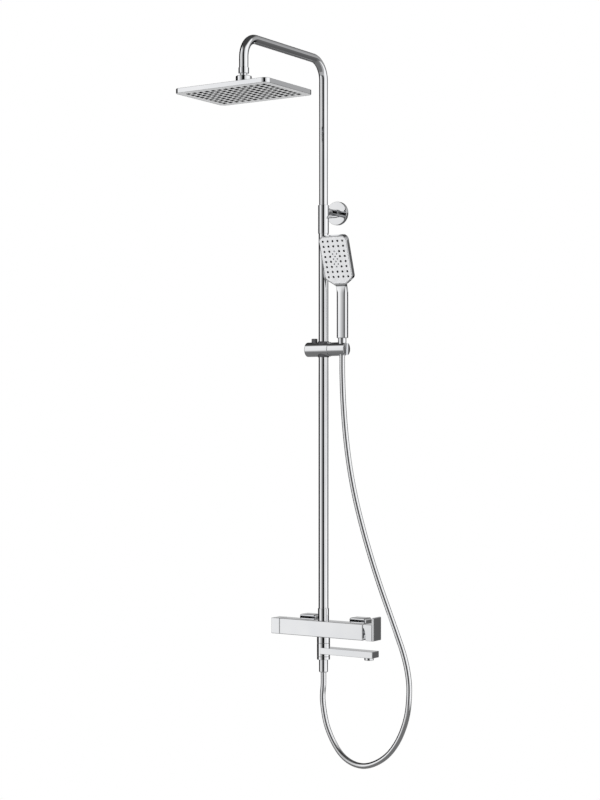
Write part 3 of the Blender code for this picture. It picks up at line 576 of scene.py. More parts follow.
def smooth_line(points, step):
    """Points about one step apart along a Catmull-Rom curve."""
    padded = [2 * points[0] - points[1]] + points + [2 * points[-1] - points[-2]]
    pieces = 24
    dense = []
    for a, b, c, d in zip(padded, padded[1:], padded[2:], padded[3:]):
        for k in range(pieces):
            t = k / pieces
            dense.append(0.5 * (2 * b + (c - a) * t + (2 * a - 5 * b + 4 * c - d) * t * t
                                + (3 * b - a - 3 * c + d) * t * t * t))
    dense.append(points[-1])
    lengths = [0.0]
    for a, b in zip(dense, dense[1:]):
        lengths.append(lengths[-1] + (b - a).length)
    count = round(lengths[-1] / step)
    even, at = [], 0
    for k in range(count + 1):
        goal = lengths[-1] * k / count
        while at < len(dense) - 2 and lengths[at + 1] < goal:
            at += 1
        share = (goal - lengths[at]) / (lengths[at + 1] - lengths[at])
        even.append(dense[at].lerp(dense[at + 1], share))
    return even


def tube(name, path, radius, across, sides=64, began=0.0, ends=None):
    """A round bar along a flat path; across is square to the path's plane. UV is (turn, metres)."""
    shape = bmesh.new()
    uv = shape.loops.layers.uv.new("along")
    rings, lengths = [], [began]
    for k, point in enumerate(path):
        ahead = path[min(k + 1, len(path) - 1)] - path[max(k - 1, 0)]
        if ends and k in (0, len(path) - 1):
            ahead = ends[0 if k == 0 else 1]
        up = ahead.normalized().cross(across)
        if k:
            lengths.append(lengths[-1] + (point - path[k - 1]).length)
        ring = []
        for s in range(sides):
            angle = 2 * math.pi * s / sides
            out = across * math.cos(angle) + up * math.sin(angle)
            ring.append(shape.verts.new(point + radius * out))
        rings.append(ring)
    for k in range(len(rings) - 1):
        for s in range(sides):
            n = (s + 1) % sides
            face = shape.faces.new((rings[k][s], rings[k][n], rings[k + 1][n], rings[k + 1][s]))
            corners = ((s, k), (s + 1, k), (s + 1, k + 1), (s, k + 1))
            for loop, (turn, row) in zip(face.loops, corners):
                loop[uv].uv = (turn / sides, lengths[row])
    shape.faces.new(rings[0])
    shape.faces.new(rings[-1])
    return to_object(name, shape)


# ---- camera, light and floor


def make_camera():
    camera = in_scene("camera", bpy.data.cameras.new("camera"))
    camera.location = CAMERA_PLACE
    camera.rotation_euler = (math.radians(90), 0, CAMERA_TURN)
    camera.data.lens = CAMERA_LENS
    camera.data.shift_y = CAMERA_SHIFT
    camera.data.clip_end = CAMERA_REACH
    bpy.context.scene.camera = camera


def shade(grey):
    """Linear light for a grey of 0 to 255 on screen, as seen in the chrome."""
    value = grey / 255
    linear = ((value + 0.055) / 1.055) ** 2.4 if value > 0.04045 else value / 12.92
    return linear / CHROME_SHARE


def along(tree, place, direction):
    """How far a place on the studio's sphere lies in a direction."""
    dot = add(tree, "ShaderNodeVectorMath", operation="DOT_PRODUCT")
    dot.inputs[1].default_value = direction
    tree.links.new(place, dot.inputs[0])
    return dot.outputs["Value"]


def panel_ring(tree, turn, panels):
    return ramp(tree, turn, [((angle + 180) / 360, shade(grey)) for angle, grey in panels])


def studio_light(tree):
    """A ring of tall soft panels and dark flags, with a ceiling, a ground and two bright bands."""
    place = add(tree, "ShaderNodeTexCoord").outputs["Generated"]
    right = along(tree, place, (math.cos(CAMERA_TURN), math.sin(CAMERA_TURN), 0))
    front = along(tree, place, (math.sin(CAMERA_TURN), -math.cos(CAMERA_TURN), 0))
    height = along(tree, place, (0, 0, 1))
    behind = math_node(tree, "MULTIPLY", front, -1.0)
    turn = mapped(tree, math_node(tree, "ARCTAN2", right, front), 0.0, 1.0, -math.pi, math.pi)
    light = panel_ring(tree, turn, PANELS)
    for start, end, last, grey in UPPER_RIGHT:
        panels = [(angle, grey if RIGHT_END < angle < last else own) for angle, own in PANELS]
        higher = mapped(tree, height, 0.0, 1.0, start, end)
        light = mixed(tree, higher, light, panel_ring(tree, turn, panels))
    light = mixed(tree, mapped(tree, height, 0.0, 1.0, *CEILING_EDGE), light, shade(CEILING_GREY))
    ground = mixed(tree, mapped(tree, behind, 0.0, 1.0, *GROUND_TURN), shade(GROUND_FRONT),
                   shade(GROUND_BEHIND))
    light = mixed(tree, mapped(tree, height, 1.0, 0.0, *GROUND_EDGE), light, ground)
    straight_behind = mapped(tree, behind, 0.0, 1.0, *SWEEP_BEHIND)
    for low, high, grey in SWEEPS:
        band = math_node(tree, "MULTIPLY", mapped(tree, height, 0.0, 1.0, low - SWEEP_EDGE, low),
                         mapped(tree, height, 1.0, 0.0, high, high + SWEEP_EDGE))
        light = mixed(tree, math_node(tree, "MULTIPLY", band, straight_behind), light, shade(grey))
    return light


def lit_white(owner, kind, output, mirrored_at):
    """Light that the camera itself sees as white, while mirrors show the given grey or pattern."""
    owner.use_nodes = True
    tree = owner.node_tree
    tree.nodes.clear()
    pick = add(tree, "ShaderNodeMixShader")
    ray = add(tree, "ShaderNodeLightPath")
    tree.links.new(ray.outputs["Is Camera Ray"], pick.inputs["Fac"])
    for socket, colour in ((1, mirrored_at(tree)), (2, (1, 1, 1, 1))):
        lit = add(tree, kind)
        feed(tree, colour, lit.inputs["Color"])
        tree.links.new(lit.outputs[0], pick.inputs[socket])
    out = add(tree, output)
    tree.links.new(pick.outputs["Shader"], out.inputs["Surface"])


def make_studio():
    world = bpy.data.worlds.new("studio")
    bpy.context.scene.world = world
    lit_white(world, "ShaderNodeBackground", "ShaderNodeOutputWorld", studio_light)
    bpy.context.scene.view_settings.view_transform = "Standard"


def make_floor():
    shape = bmesh.new()
    bmesh.ops.create_grid(shape, x_segments=1, y_segments=1, size=FLOOR_SIZE / 2)
    bmesh.ops.translate(shape, vec=(0, 0, FLOOR_Z), verts=shape.verts)
    floor = to_object("floor", shape)
    made = bpy.data.materials.new("pale_floor")
    grey = shade(FLOOR_GREY)
    lit_white(made, "ShaderNodeEmission", "ShaderNodeOutputMaterial", lambda tree: (grey, grey, grey, 1))
    floor.data.materials.append(made)


def make_lights():
    """One broad soft lamp in front, for the pieces that aren't mirrors."""
    data = bpy.data.lights.new("front_lamp", "AREA")
    data.shape = "RECTANGLE"
    data.size = LAMP_SIZE
    data.size_y = LAMP_SIZE
    data.energy = LAMP_POWER
    lamp = in_scene("front_lamp", data)
    lamp.location = LAMP_PLACE
    lamp.rotation_euler = (LAMP_AIM - LAMP_PLACE).to_track_quat("-Z", "Y").to_euler()
    lamp.visible_glossy = False


# ---- hose


def held_stretch(name, start, end, began):
    """A straight stretch of hose near the hand shower."""
    steps = 8
    rise = Vector((0, 0, 1))
    path = [start.lerp(end, k / steps) for k in range(steps + 1)]
    part = tube(name, path, HOSE_R, Vector((0, 1, 0)), HOSE_SIDES, began, (rise, rise))
    dressed(part, "hose_silver")
    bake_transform(part)
    return part


def make_hose():
    """The hose in three stretches: hanging, a straight stretch up to the cone nut's mouth, and the end
    held in the cone nut.
    """
    column_y = line_of("lower_pipe", "Z")[0].y
    hand_x = line_of("cone_nut", "Z")[0].x
    route = [Vector((x, column_y, z)) for x, z in HOSE_ROUTE]
    rise = Vector((0, 0, 1))
    line = smooth_line(route, HOSE_STEP)
    hanging = [p for p in line if p.z < HOSE_BEND_START - HOSE_STEP / 2]
    hanging.append(Vector((hanging[-1].x, column_y, HOSE_BEND_START)))
    hose = tube("shower_hose", hanging, HOSE_R, Vector((0, 1, 0)), HOSE_SIDES, 0.0, (-rise, rise))
    length = sum((b - a).length for a, b in zip(hanging, hanging[1:]))
    mouth = Vector((hand_x, column_y, HOSE_NUT_MOUTH))
    top = Vector((hand_x, column_y, HOSE_TOP))
    bend = held_stretch("hose_bend", hanging[-1], mouth, length)
    held = length + HOSE_NUT_MOUTH - HOSE_BEND_START
    end = held_stretch("hose_end", mouth, top, held)
    dressed(hose, "hose_silver", "hose")
    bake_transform(hose)
    nut = make_hose_nut()


def make_hose_nut():
    at, radius, start, end = line_of("hose_nut", "Z")
    nut = turned("hose_coupling", [
        (HOSE_BORE, start), (radius - 0.0012, start), (radius, start + 0.0016), (radius, end),
        (0.0100, end), (0.0100, end - 0.0142), (HOSE_BORE, end - 0.0142)
    ], "Z", at, 0.0004)
    return chromed(nut, "root", "hose_nut")


# ---- mixer bar


def make_bar():
    low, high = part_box("bar_body")
    back = high.y - INLET_NECK
    chromed(block("mixer_bar", low, (high.x, back, high.z), BAR_EDGE), "root", "bar_body")
    for side in ("left", "right"):
        make_cover(side)
        make_union_nut(side)
    low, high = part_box("diverter_knob")
    chromed(block("diverter_grip", low, high, KNOB_EDGE), "diverter_knob", "diverter_knob")


def make_cover(side):
    """A square cover with soft corners round one wall union, with a hole for the union's neck."""
    low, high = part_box(f"union_cover_{side}")
    middle = (low + high) / 2
    width, height = high.x - low.x, high.z - low.z
    placing = Matrix.Translation((middle.x, 0, middle.z)) @ Matrix.Rotation(math.radians(90), 4, "X")

    def outline(inset):
        return rounded_rectangle(width - 2 * inset, height - 2 * inset, COVER_CORNER - 0.5 * inset)

    levels = edge_levels(0, -low.y, 0.0002, 0.0026)
    cover = to_object(f"wall_cover_{side}", stacked_shape(outline, levels, placing), 50)
    bore = ring_profile(0, COVER_BORE, low.y - 0.002, low.y + 0.004)
    combine(cover, turned_shape(bore, "Y", (middle.x, 0, 0), 64), sharp=50)
    combine(cover, stacked_shape(
        lambda inset: rounded_rectangle(width - 2 * COVER_WALL, height - 2 * COVER_WALL, 0.0045),
        [(0, -0.002), (0, -low.y - COVER_WALL)], placing), sharp=50)
    even_shading(cover)
    chromed(cover, "root", f"union_cover_{side}")


def make_union_nut(side):
    """A hexagon nut between the bar and the cover, with its corners chamfered."""
    low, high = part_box(f"union_nut_{side}")
    middle = (low + high) / 2
    across = (high.x - low.x) / 2
    nut = to_object(f"union_hexagon_{side}", turned_shape([
        (0.0124, low.y), (across - 0.0016, low.y), (across, low.y + 0.0009), (across, high.y - 0.0009),
        (across - 0.0016, high.y), (0.0097, high.y)
    ], "Y", (middle.x, 0, 0), 6), 30)
    soften(nut, 0.0005, 3)
    chromed(nut, "root", f"union_nut_{side}")


def make_lever():
    """The hub, hollowed at its lower left so that it can tilt, and the tall plate on its end."""
    low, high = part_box("lever_hub")
    depth = high.y - low.y
    outline = [(low.x, high.z), (low.x, LEVER_KNEE)]
    for angle in quarter_turn(16)[1:]:
        outline.append((low.x + LEVER_HOLLOW * math.sin(angle),
                        LEVER_KNEE - (LEVER_KNEE - low.z) * (1 - math.cos(angle))))
    outline += [(high.x, low.z), (high.x, high.z)]
    shape = bmesh.new()
    base = shape.faces.new([shape.verts.new((x, low.y, z)) for x, z in outline])
    made = bmesh.ops.extrude_face_region(shape, geom=[base])
    moved = [v for v in made["geom"] if isinstance(v, bmesh.types.BMVert)]
    bmesh.ops.translate(shape, vec=(0, depth, 0), verts=moved)
    hub = to_object("lever_block", shape, 30)
    soften(hub, SOFT_EDGE)
    chromed(hub, "lever", "lever_hub")
    low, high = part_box("lever_plate")
    chromed(block("lever_handle", low, high, LEVER_EDGE), "lever", "lever_plate")


def soften(obj, width, segments=4):
    step = obj.modifiers.new("soft edges", "BEVEL")
    step.width = width
    step.segments = segments
    step.limit_method = "ANGLE"
    step.angle_limit = math.radians(40)
    step.harden_normals = True


# ---- column and bracket


def make_column():
    at, radius, start, end = line_of("column_collar", "Z")
    bar_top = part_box("bar_body")[1].z
    collar = turned("column_socket", [
        (0.0070, start), (0.0097, start), (0.0097, bar_top + 0.0002), (radius, bar_top + 0.0002),
        (radius, end), (0.01265, end), (0.01265, start + 0.020), (0.0070, start + 0.020)
    ], "Z", at, 0.0005)
    chromed(collar, "root", "column_collar")
    at, radius, start, end = line_of("lower_pipe", "Z")
    wall = ring_profile(radius - PIPE_WALL, radius, start, end)
    chromed(turned("column_pipe", wall, "Z", at, 0.0003, 128), "root", "lower_pipe")


def make_bracket():
    at = line_of("lower_pipe", "Z")[0]
    low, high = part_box("bracket_sleeve")
    radius = (high.x - low.x) / 2
    sleeve = turned("riser_sleeve", [
        (0.0127, low.z), (radius, low.z), (radius, high.z), (0.0112, high.z),
        (0.0112, high.z - 0.0350), (0.0127, high.z - 0.0360)
    ], "Z", at, 0.0009)
    rosette, plate_r, front, wall = line_of("bracket_rosette", "Y")
    neck = turned_shape(rounded_corners([
        (0, at.y + 0.0125), (0.0092, at.y + 0.0125), (0.0092, -0.0480), (0.0083, -0.0462),
        (0.0083, high.y), (0, high.y)
    ], 0.0006), "Y", rosette, 64)
    combine(sleeve, neck, "UNION")
    chromed(sleeve, "root", "bracket_sleeve")
    at, radius, start, end = line_of("neck_ring", "Y")
    ring = ring_profile(0.0064, radius, start, end)
    chromed(turned("bracket_ring", ring, "Y", at, 0.0006), "root", "neck_ring")
    rose = turned("wall_rosette", [
        (0.0066, front), (plate_r - 0.0006, front), (plate_r, front + 0.0006), (plate_r, wall),
        (plate_r - 0.0018, wall), (plate_r - 0.0018, front + 0.0018), (0.0066, front + 0.0018)
    ], "Y", rosette, 0.0010)
    chromed(rose, "root", "bracket_rosette")
    at, radius, start, end = line_of("height_lock_screw", "X")
    groove = start + 0.0125
    screw = turned("height_lock_knob", [
        (0, start), (0.0020, start), (0.0020, start + 0.0029), (radius, start + 0.0029),
        (radius, groove), (radius - 0.0007, groove + 0.0004), (radius - 0.0007, groove + 0.0011),
        (radius, groove + 0.0015), (radius, end - 0.0016), (radius - 0.0016, end), (0, end)
    ], "X", at, 0.0003, 48)
    chromed(screw, "lock_screw", "height_lock_screw")


def make_arm():
    """The riser's upper pipe: up, over and down, with two quarter bends."""
    low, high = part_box("riser_arm")
    radius = (high.x - low.x) / 2
    column_y, head_y, top = high.y - radius, low.y + radius, high.z - radius
    rise = (top - BEND_R - low.z) / 12
    path = [Vector((0, column_y, low.z + rise * k)) for k in range(12)]
    for bend_y, start in ((column_y - BEND_R, 0), (head_y + BEND_R, 90)):
        centre = Vector((0, bend_y, top - BEND_R))
        for k in range(BEND_STEPS + 1):
            angle = math.radians(start + 90 * k / BEND_STEPS)
            path.append(centre + BEND_R * Vector((0, math.cos(angle), math.sin(angle))))
    collar, collar_r, collar_low, collar_high = line_of("arm_collar", "Z")
    path.append(Vector((0, head_y, (collar_low + collar_high) / 2)))
    arm = tube("riser_and_arm", path, radius, Vector((1, 0, 0)), 96, 0.0,
               (Vector((0, 0, 1)), Vector((0, 0, -1))))
    chromed(arm, "arm", "riser_arm")
    ferrule = turned("arm_ferrule", [
        (0.0060, collar_low), (collar_r - 0.0005, collar_low), (collar_r, collar_low + 0.0010),
        (collar_r, collar_high), (0.0111, collar_high), (0.0111, collar_low + 0.0067),
        (0.0060, collar_low + 0.0067)
    ], "Z", collar, 0.0005)
    chromed(ferrule, "arm", "arm_collar")
    make_ball()


def make_ball():
    """The bored ball at the arm's end, a touch smaller than its seat, and the neck above it."""
    stud, stud_r, stud_low, stud_high = line_of("ball_stud", "Z")
    bore, neck, play, steps = 0.0045, 0.0082, 0.0002, 24
    ball_z = stud_low + math.sqrt(stud_r**2 - bore**2)
    ball_r = stud_r - play
    first, last = math.asin(bore / ball_r), math.pi - math.asin(neck / ball_r)
    profile = []
    for k in range(steps + 1):
        angle = first + (last - first) * k / steps
        profile.append((ball_r * math.sin(angle), ball_z - ball_r * math.cos(angle)))
    profile += [(neck, stud_high), (bore, stud_high)]
    ball = turned("arm_ball", profile, "Z", stud, 0)
    chromed(ball, "arm", "ball_stud")


# ---- rain head


def make_rain_head():
    at, radius, start, end = line_of("swivel_nut", "Z")
    nut = turned("head_swivel_nut", [
        (0.0152, start), (radius, start), (radius, end - 0.0012), (radius - 0.0012, end),
        (0.0125, end), (0.0125, end - 0.0055), (0.0152, end - 0.0055)
    ], "Z", at, 0.0006)
    chromed(nut, "rain_head", "swivel_nut")
    low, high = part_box("rain_head_shell")
    top = start - GAP
    width, length = high.x - low.x, high.y - low.y

    def outline(inset):
        return rounded_rectangle(width - 2 * inset, length - 2 * inset, RAIN_CORNER - inset, 12)

    placing = Matrix.Translation((at.x, at.y, 0))
    rim = 0.0016
    lip = low.z + 0.0004
    levels = [(rim, low.z + 0.0016), (rim, lip), (rim - 0.0004, low.z)]
    levels += edge_levels(low.z, top, 0.0006, 0.0012)
    shell = to_object("rain_head_body", stacked_shape(outline, levels, placing), 35)
    boss = ring_profile(0, 0.0149, top - 0.001, top + 0.0040)
    combine(shell, turned_shape(boss, "Z", at, 64), "UNION")
    even_shading(shell)
    chromed(shell, "rain_head", "rain_head_shell")

    def plate_outline(inset):
        gap = rim + GAP + inset
        return rounded_rectangle(width - 2 * gap, length - 2 * gap, RAIN_CORNER - gap, 12)

    level = low.z + 0.0002
    plate = to_object("rain_plate", stacked_shape(
        plate_outline, edge_levels(level, level + 0.0018, 0.0003, 0.0001, 2), placing), 30)
    spots = rain_spots(at)
    combine(plate, merged([turned_shape([
        (0, level - 0.0002), (0.0068, level - 0.0002), (0.0066, level), (0.0060, level + 0.0008),
        (0.0056, level + 0.0012), (0, level + 0.0012)
    ], "Z", spot, 20) for spot in spots]), sharp=30)
    even_shading(plate)
    placed(plate, "rain_head", "chrome", "rain_spray_plate", material=SATIN)
    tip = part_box("rain_nozzle_mat")[0].z
    nozzles = to_object("rain_nozzles", merged([turned_shape([
        (0, level + 0.0011), (0.0056, level + 0.0011), (0.0054, level + 0.0004), (0.0042, level),
        (0.0030, tip + 0.0004), (0.0023, tip), (0.0008, tip), (0.0007, level), (0, level)
    ], "Z", spot, 16) for spot in spots]), 40)
    placed(nozzles, "rain_head", "rubber", "rain_nozzle_mat")


def rain_spots(middle):
    across, along_y = RAIN_NOZZLES
    spots = []
    for i in range(across):
        for j in range(along_y):
            x = middle.x + (i - (across - 1) / 2) * RAIN_PITCH
            spots.append((x, middle.y + (j - (along_y - 1) / 2) * RAIN_PITCH, 0))
    return spots


# ---- slider and holder


def make_slider():
    at, radius, start, end = line_of("slider_body", "X")
    column = line_of("lower_pipe", "Z")[0]
    body = turned("slider_barrel", ring_profile(0, radius, start, end), "X", at, 0.0006)
    low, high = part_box("release_button")
    top = at.z + radius
    tools = (
        turned_shape(ring_profile(0, 0.0147, at.z - 0.03, at.z + 0.03), "Z", column, 64),
        block_shape((low.x - 0.0005, low.y - 0.0005, at.z + 0.008),
                    (high.x + 0.0005, high.y + 0.0005, top + 0.004), 0.0008, 3),
    )
    for tool in tools:
        combine(body, tool)
    chromed(body, "slider", "slider_body")
    bush, bush_r, bush_low, bush_high = line_of("slider_bush", "Z")
    liner = ring_profile(0.0128, bush_r, bush_low, bush_high)
    placed(turned("slider_liner", liner, "Z", bush, 0.0005), "slider", "plastic", "slider_bush")
    cap, cap_r, cap_low, cap_high = line_of("slider_end_cap", "X")
    end_cap = turned("slider_cap", [
        (0, cap_low), (cap_r - 0.0022, cap_low), (cap_r, cap_low + 0.0016),
        (cap_r, cap_low + 0.0020), (0.0137, cap_low + 0.0020), (0.0137, cap_high), (0, cap_high)
    ], "X", cap, 0.0007)
    chromed(end_cap, "slider", "slider_end_cap")
    key = block("release_key", low, high, 0.0011)
    placed(key, "release_button", "plastic", "release_button")


def make_spring():
    """The coil under the release key, between the slider and the key."""
    low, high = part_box("button_spring")
    middle = (low + high) / 2
    steps, sides = 28, 10
    radius = (high.x - low.x) / 2 - SPRING_WIRE
    count = SPRING_TURNS * steps
    climb = high.z - low.z - 2 * SPRING_WIRE
    shape = bmesh.new()
    rings = []
    for k in range(count + 1):
        angle = 2 * math.pi * k / steps
        out = Vector((math.cos(angle), math.sin(angle), 0))
        centre = Vector((middle.x, middle.y, low.z + SPRING_WIRE + climb * k / count))
        ring = []
        for n in range(sides):
            a = 2 * math.pi * n / sides
            lift = Vector((0, 0, SPRING_WIRE * math.sin(a)))
            ring.append(shape.verts.new(centre + out * (radius + SPRING_WIRE * math.cos(a)) + lift))
        rings.append(ring)
    skin(shape, rings)
    spring = to_object("release_spring", shape)
    dressed(spring, "steel", "button_spring")
    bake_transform(spring)


def make_holder():
    at, radius, start, end = line_of("handset_holder", "X")
    socket = line_of("cone_nut", "Z")[0]
    holder = turned("hand_shower_holder", ring_profile(0, radius, start, end), "X", at, 0.0008)
    low, high = at.z - radius - 0.002, at.z + radius + 0.002
    taper = turned_shape([(0, low), (0.0095, low), (0.0115, high), (0, high)], "Z", socket, 64)
    slot_y = 0.0075
    slot = block_shape((socket.x, socket.y - slot_y, low), (end + 0.002, socket.y + slot_y, high), 0)
    for tool in (taper, slot):
        combine(holder, tool)
    soften(holder, 0.0005, 3)
    chromed(holder, "holder", "handset_holder")


# ---- hand shower


def face_axes():
    """Directions up the head's face, and out of its back."""
    rise = Vector((0, -math.sin(FACE_TILT), math.cos(FACE_TILT)))
    back = Vector((0, math.cos(FACE_TILT), math.sin(FACE_TILT)))
    return rise, back


def face_frame(depth):
    """Takes (across, up the face, out of the front) to the world; depth is behind the face."""
    rise, back = face_axes()
    placing = Matrix((Vector((1, 0, 0)), rise, -back)).transposed().to_4x4()
    placing.translation = Vector((line_of("cone_nut", "Z")[0].x, *FACE_FOOT)) + back * depth
    return placing


def half_width(up):
    """Half the head's width: straight sloping shoulders, softly joined, and round top corners."""
    full = HEAD_WIDTH / 2
    if up > HEAD_LENGTH - TOP_CORNER:
        rise = min(up - (HEAD_LENGTH - TOP_CORNER), TOP_CORNER)
        return full - TOP_CORNER + math.sqrt(max(0.0, TOP_CORNER**2 - rise**2))
    sloping = CHIN_HALF_WIDTH + max(up, 0.0) * SHOULDER_SLOPE
    near = max(0.0, 1 - abs(sloping - full) / SHOULDER_BLEND)
    return min(sloping, full) - near * near * SHOULDER_BLEND / 4


def face_stops():
    """Heights up the face, close together where its outline turns."""
    stops = [0.003, 0.007] + [0.0105 + 0.0009 * k for k in range(14)]
    stops += [0.04, 0.06, 0.08, 0.10]
    stops += [HEAD_LENGTH - TOP_CORNER + 0.0128 * math.sin(angle) for angle in quarter_turn(12)]
    return stops


def face_outline(inset):
    """The head's outline, squeezed towards its middle by the inset."""
    right = []
    for up in face_stops():
        squeezed = inset + up * (HEAD_LENGTH - 2 * inset) / HEAD_LENGTH
        right.append((half_width(up) - inset, squeezed))
    return right + [(-x, up) for x, up in reversed(right)]


def section(half_w, half_d, front_r, back_r, centre, tilt, crown=0.0, steps=8):
    """A cross-section of the hand shower: front and back corners, and a crown on the front."""
    back = Vector((0, math.cos(tilt), math.sin(tilt)))
    points = []

    def place(x, y):
        swell = crown * (1 - (x / half_w) ** 2) * (0.5 - 0.5 * y / half_d)
        points.append(centre + Vector((x, 0, 0)) + back * (y - swell))

    for quarter, (sx, sy) in enumerate(((1, 1), (-1, 1), (-1, -1), (1, -1))):
        radius = min(back_r if sy > 0 else front_r, half_w * 0.95, half_d * 0.98)
        for k in range(steps + 1):
            angle = math.pi / 2 * (quarter + k / steps)
            place(sx * (half_w - radius) + radius * math.cos(angle),
                  sy * (half_d - radius) + radius * math.sin(angle))
        if quarter == 2:
            run = half_w - radius
            for k in range(1, 12):
                place(-run + 2 * run * k / 12, -half_d)
    return points


def handle_section(hand, z, inset=0.0):
    """The handle at a height; an inset rounds its lower rim."""
    return section(
        HANDLE_HALF_WIDTH - inset, HANDLE_HALF_DEPTH - inset, HANDLE_FRONT_R, HAND_BACK_R,
        Vector((hand.x, hand.y + HANDLE_SET_BACK, z)), 0, HANDLE_CROWN)


def handle_sections(hand, bottom):
    sections = []
    for angle in quarter_turn(5):
        inset = HANDLE_RIM * (1 - math.sin(angle))
        sections.append(handle_section(hand, bottom + HANDLE_RIM * (1 - math.cos(angle)), inset))
    return sections + [handle_section(hand, z) for z in HANDLE_STOPS]


def neck_sections(hand, foot):
    """The neck bends from the upright handle to the tilted head, and loses its crown."""
    rise, back = face_axes()
    start = Vector((hand.x, hand.y + HANDLE_SET_BACK, HANDLE_TOP))
    end = foot + back * (HEAD_DEPTH / 2 + 0.0012)
    pull, push = start + Vector((0, 0, 0.010)), end - rise * 0.008
    sections = []
    for k in range(1, 8):
        t = k / 8
        ease = t * t * (3 - 2 * t)
        centre = ((1 - t)**3 * start + 3 * t * (1 - t)**2 * pull + 3 * t * t * (1 - t) * push
                  + t**3 * end)
        sections.append(section(
            HANDLE_HALF_WIDTH - NECK_TAPER * ease, HANDLE_HALF_DEPTH,
            HANDLE_FRONT_R - (HANDLE_FRONT_R - HEAD_FRONT_R) * ease, HAND_BACK_R,
            centre, FACE_TILT * ease, HANDLE_CROWN * (1 - ease)))
    return sections


def head_section(foot, up, half_w, half_d):
    rise, back = face_axes()
    centre = foot + rise * up + back * (HEAD_DEPTH / 2)
    return section(half_w, half_d, HEAD_FRONT_R, HAND_BACK_R, centre, FACE_TILT)


def head_sections(foot):
    """The head from its chin up, closed by a rounded top rim."""
    stops = face_stops()
    last = stops[-1]
    sections = [head_section(foot, up, half_width(up), HEAD_DEPTH / 2) for up in [0.0] + stops]
    for k in range(1, 5):
        inset = 0.0035 * (1 - math.cos(math.pi / 2 * k / 4))
        up = last + (HEAD_LENGTH - last) * k / 4
        sections.append(head_section(foot, up, half_width(last) - inset, HEAD_DEPTH / 2 - inset * 0.2))
    return sections


def make_hand_shower():
    """Handle, neck and head in one shell, with a bed cut into the head for the spray face."""
    hand, _, _, nut_top = line_of("cone_nut", "Z")
    foot = face_frame(0).translation
    sections = handle_sections(hand, nut_top + GAP) + neck_sections(hand, foot) + head_sections(foot)
    shape = bmesh.new()
    skin(shape, [[shape.verts.new(p) for p in points] for points in sections])
    shell = to_object("hand_shower_body", shape, 50)
    bed = stacked_shape(face_outline, [(0.0018, 0.0), (0.0018, 0.0060)], face_frame(0.0040))
    combine(shell, bed, sharp=40)
    even_shading(shell)
    chromed(shell, "handset", "handset_shell")
    make_spray_face()
    make_cone_nut()


def make_cone_nut():
    at, radius, start, end = line_of("cone_nut", "Z")
    nut = turned("hand_shower_cone", [
        (HOSE_BORE, start), (0.0088, start), (radius, end - 0.0082), (radius, end), (HOSE_BORE, end),
        (HOSE_BORE, end - 0.0127), (0.0050, end - 0.0127), (0.0050, end - 0.0187),
        (HOSE_BORE, end - 0.0207)
    ], "Z", at, 0.0005)
    chromed(nut, "handset", "cone_nut")


def hand_spots():
    """The rubber nozzles, five across and eight up, and the cluster of fine jets amid them."""
    pitch_x, pitch_y = HAND_PITCH
    spots = []
    for row in range(8):
        for column in range(5):
            if column == 2 and 2 <= row <= 5:
                continue
            spots.append(((column - 2) * pitch_x, HAND_FIRST_ROW + row * pitch_y))
    jets = []
    for k in range(7):
        up = HAND_FIRST_ROW + 2 * pitch_y + k * pitch_y / 2
        jets += [(0.0, up)] if k % 2 == 0 else [(-0.0058, up), (0.0058, up)]
    return spots, jets


def pins(spots, profile, sides=16):
    """One small turned shape at each spot of the face; the profile runs out of the front."""
    shapes = []
    for x, up in spots:
        shapes.append(turned_shape(profile, "Z", (x, up, 0), sides))
    whole = merged(shapes)
    bmesh.ops.transform(whole, matrix=face_frame(0.0), verts=whole.verts)
    return whole


def make_spray_face():
    spots, jets = hand_spots()
    levels = edge_levels(0.0, 0.0030, 0.0001, 0.0005, 3)
    plate = to_object("hand_shower_face", stacked_shape(
        lambda inset: face_outline(0.0021 + inset), levels, face_frame(0.0032)), 30)
    for places, foot_r, mouth_r, sides in ((spots, 0.0028, 0.0031, 16), (jets, 0.0020, 0.0022, 12)):
        recess = [(0, -0.0012), (foot_r, -0.0012), (mouth_r, 0.0006), (0, 0.0006)]
        combine(plate, pins(places, recess, sides), sharp=30)
    even_shading(plate)
    placed(plate, "handset", "spray_face", "handset_spray_face")
    nozzles = to_object("hand_shower_nozzles", pins(spots, [
        (0, -0.0011), (0.0028, -0.0011), (0.0026, 0.0001), (0.0019, 0.0006), (0.0006, 0.0006),
        (0.0005, -0.0002), (0, -0.0002)]))
    placed(nozzles, "handset", "rubber", "handset_nozzle_mat")
    fine = to_object("hand_shower_jets", pins(jets, [
        (0, -0.0011), (0.0020, -0.0011), (0.0019, -0.0002), (0.0006, -0.0002), (0.0005, -0.0008),
        (0, -0.0008)
    ], 12))
    placed(fine, "handset", "rubber", material=JETS)


# ---- spout and outlet


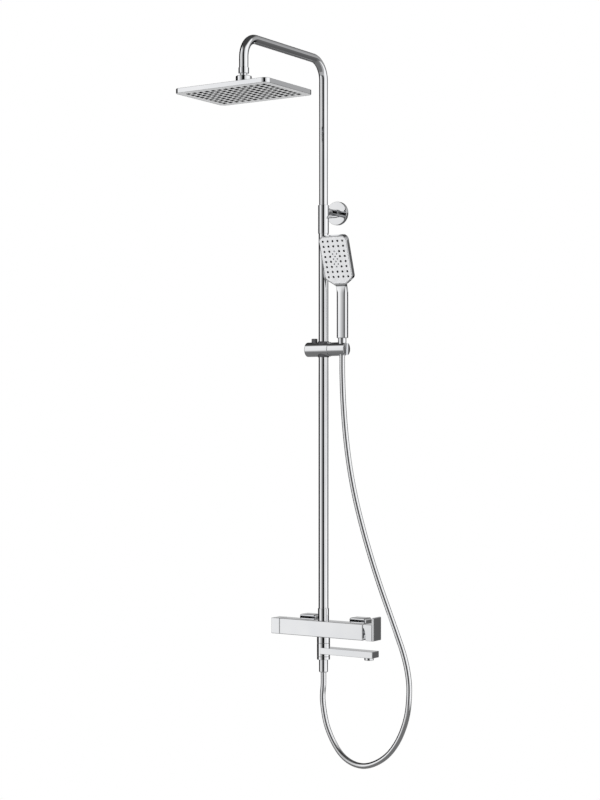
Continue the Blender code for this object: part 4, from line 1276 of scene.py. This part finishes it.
def make_outlet():
    at, radius, low, high = line_of("outlet_body", "Z")
    spout_low, spout_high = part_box("spout")
    bar_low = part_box("bar_body")[0].z
    seam = spout_high.z + GAP
    body = turned("outlet_socket", [
        (0.0060, low), (0.0097, low), (0.0097, spout_low.z + GAP), (0.0115, spout_low.z + GAP),
        (0.0115, seam), (radius, seam), (radius, bar_low - GAP), (0.0097, bar_low - GAP),
        (0.0097, high), (0.0060, high)
    ], "Z", at, 0.0005)
    chromed(body, "root", "outlet_body")
    ring, ring_r, ring_low, ring_high = line_of("outlet_retaining_ring", "Z")
    stop = turned("outlet_ring", ring_profile(0.0100, ring_r, ring_low, ring_high), "Z", ring, 0.0008)
    chromed(stop, "root", "outlet_retaining_ring")


def make_spout():
    """The flat bath spout on its collar, with the aerator under its end."""
    at, radius, _, _ = line_of("outlet_body", "Z")
    low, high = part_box("spout")
    collar = turned("bath_spout", ring_profile(0.0118, radius, low.z, high.z), "Z", at, 0.0006)
    aerator, _, _, rim = line_of("aerator_housing", "Z")
    bottom = rim - 0.0050
    arm = block_shape((0.0005, low.y, bottom), (high.x, high.y, bottom + 0.0160), 0.0008)
    combine(collar, arm, "UNION")
    bore = ring_profile(0, 0.0090, bottom - 0.002, bottom + 0.010)
    combine(collar, turned_shape(bore, "Z", aerator, 48))
    chromed(collar, "spout", "spout")
    make_aerator(bottom)


def make_aerator(spout_bottom):
    """The aerator's ring, and the sieve in it with its ribs round one another."""
    at, radius, tip, rim = line_of("aerator_housing", "Z")
    seat = spout_bottom - GAP
    housing = turned("aerator_ring", [
        (0.0080, tip), (radius - 0.0006, tip), (radius, tip + 0.0007), (radius, seat),
        (0.0086, seat), (0.0086, rim), (0.0080, rim)
    ], "Z", at, 0.0004)
    chromed(housing, "spout", "aerator_housing")
    insert, insert_r, insert_low, insert_high = line_of("aerator_insert", "Z")
    profile = [(0, insert_high), (0, insert_low + 0.0004)]
    ribs = 5
    for k in range(ribs):
        inner = insert_r * (k + 0.3) / ribs
        outer = insert_r * (k + 0.95) / ribs
        profile += [(inner, insert_low + 0.0014), (inner + 0.0001, insert_low), (outer, insert_low),
                    (outer + 0.0001, insert_low + 0.0014)]
    profile[-1] = (insert_r, insert_low)
    profile += [(insert_r, insert_high)]
    sieve = turned("aerator_sieve", profile, "Z", insert, 0, 48)
    placed(sieve, "spout", "plastic", "aerator_insert")


def main():
    make_camera()
    make_studio()
    make_floor()
    make_lights()
    dress_cad_nodes()
    make_hose()
    make_bar()
    make_lever()
    make_column()
    make_bracket()
    make_arm()
    make_rain_head()
    make_slider()
    make_spring()
    make_holder()
    make_hand_shower()
    make_outlet()
    make_spout()


main()
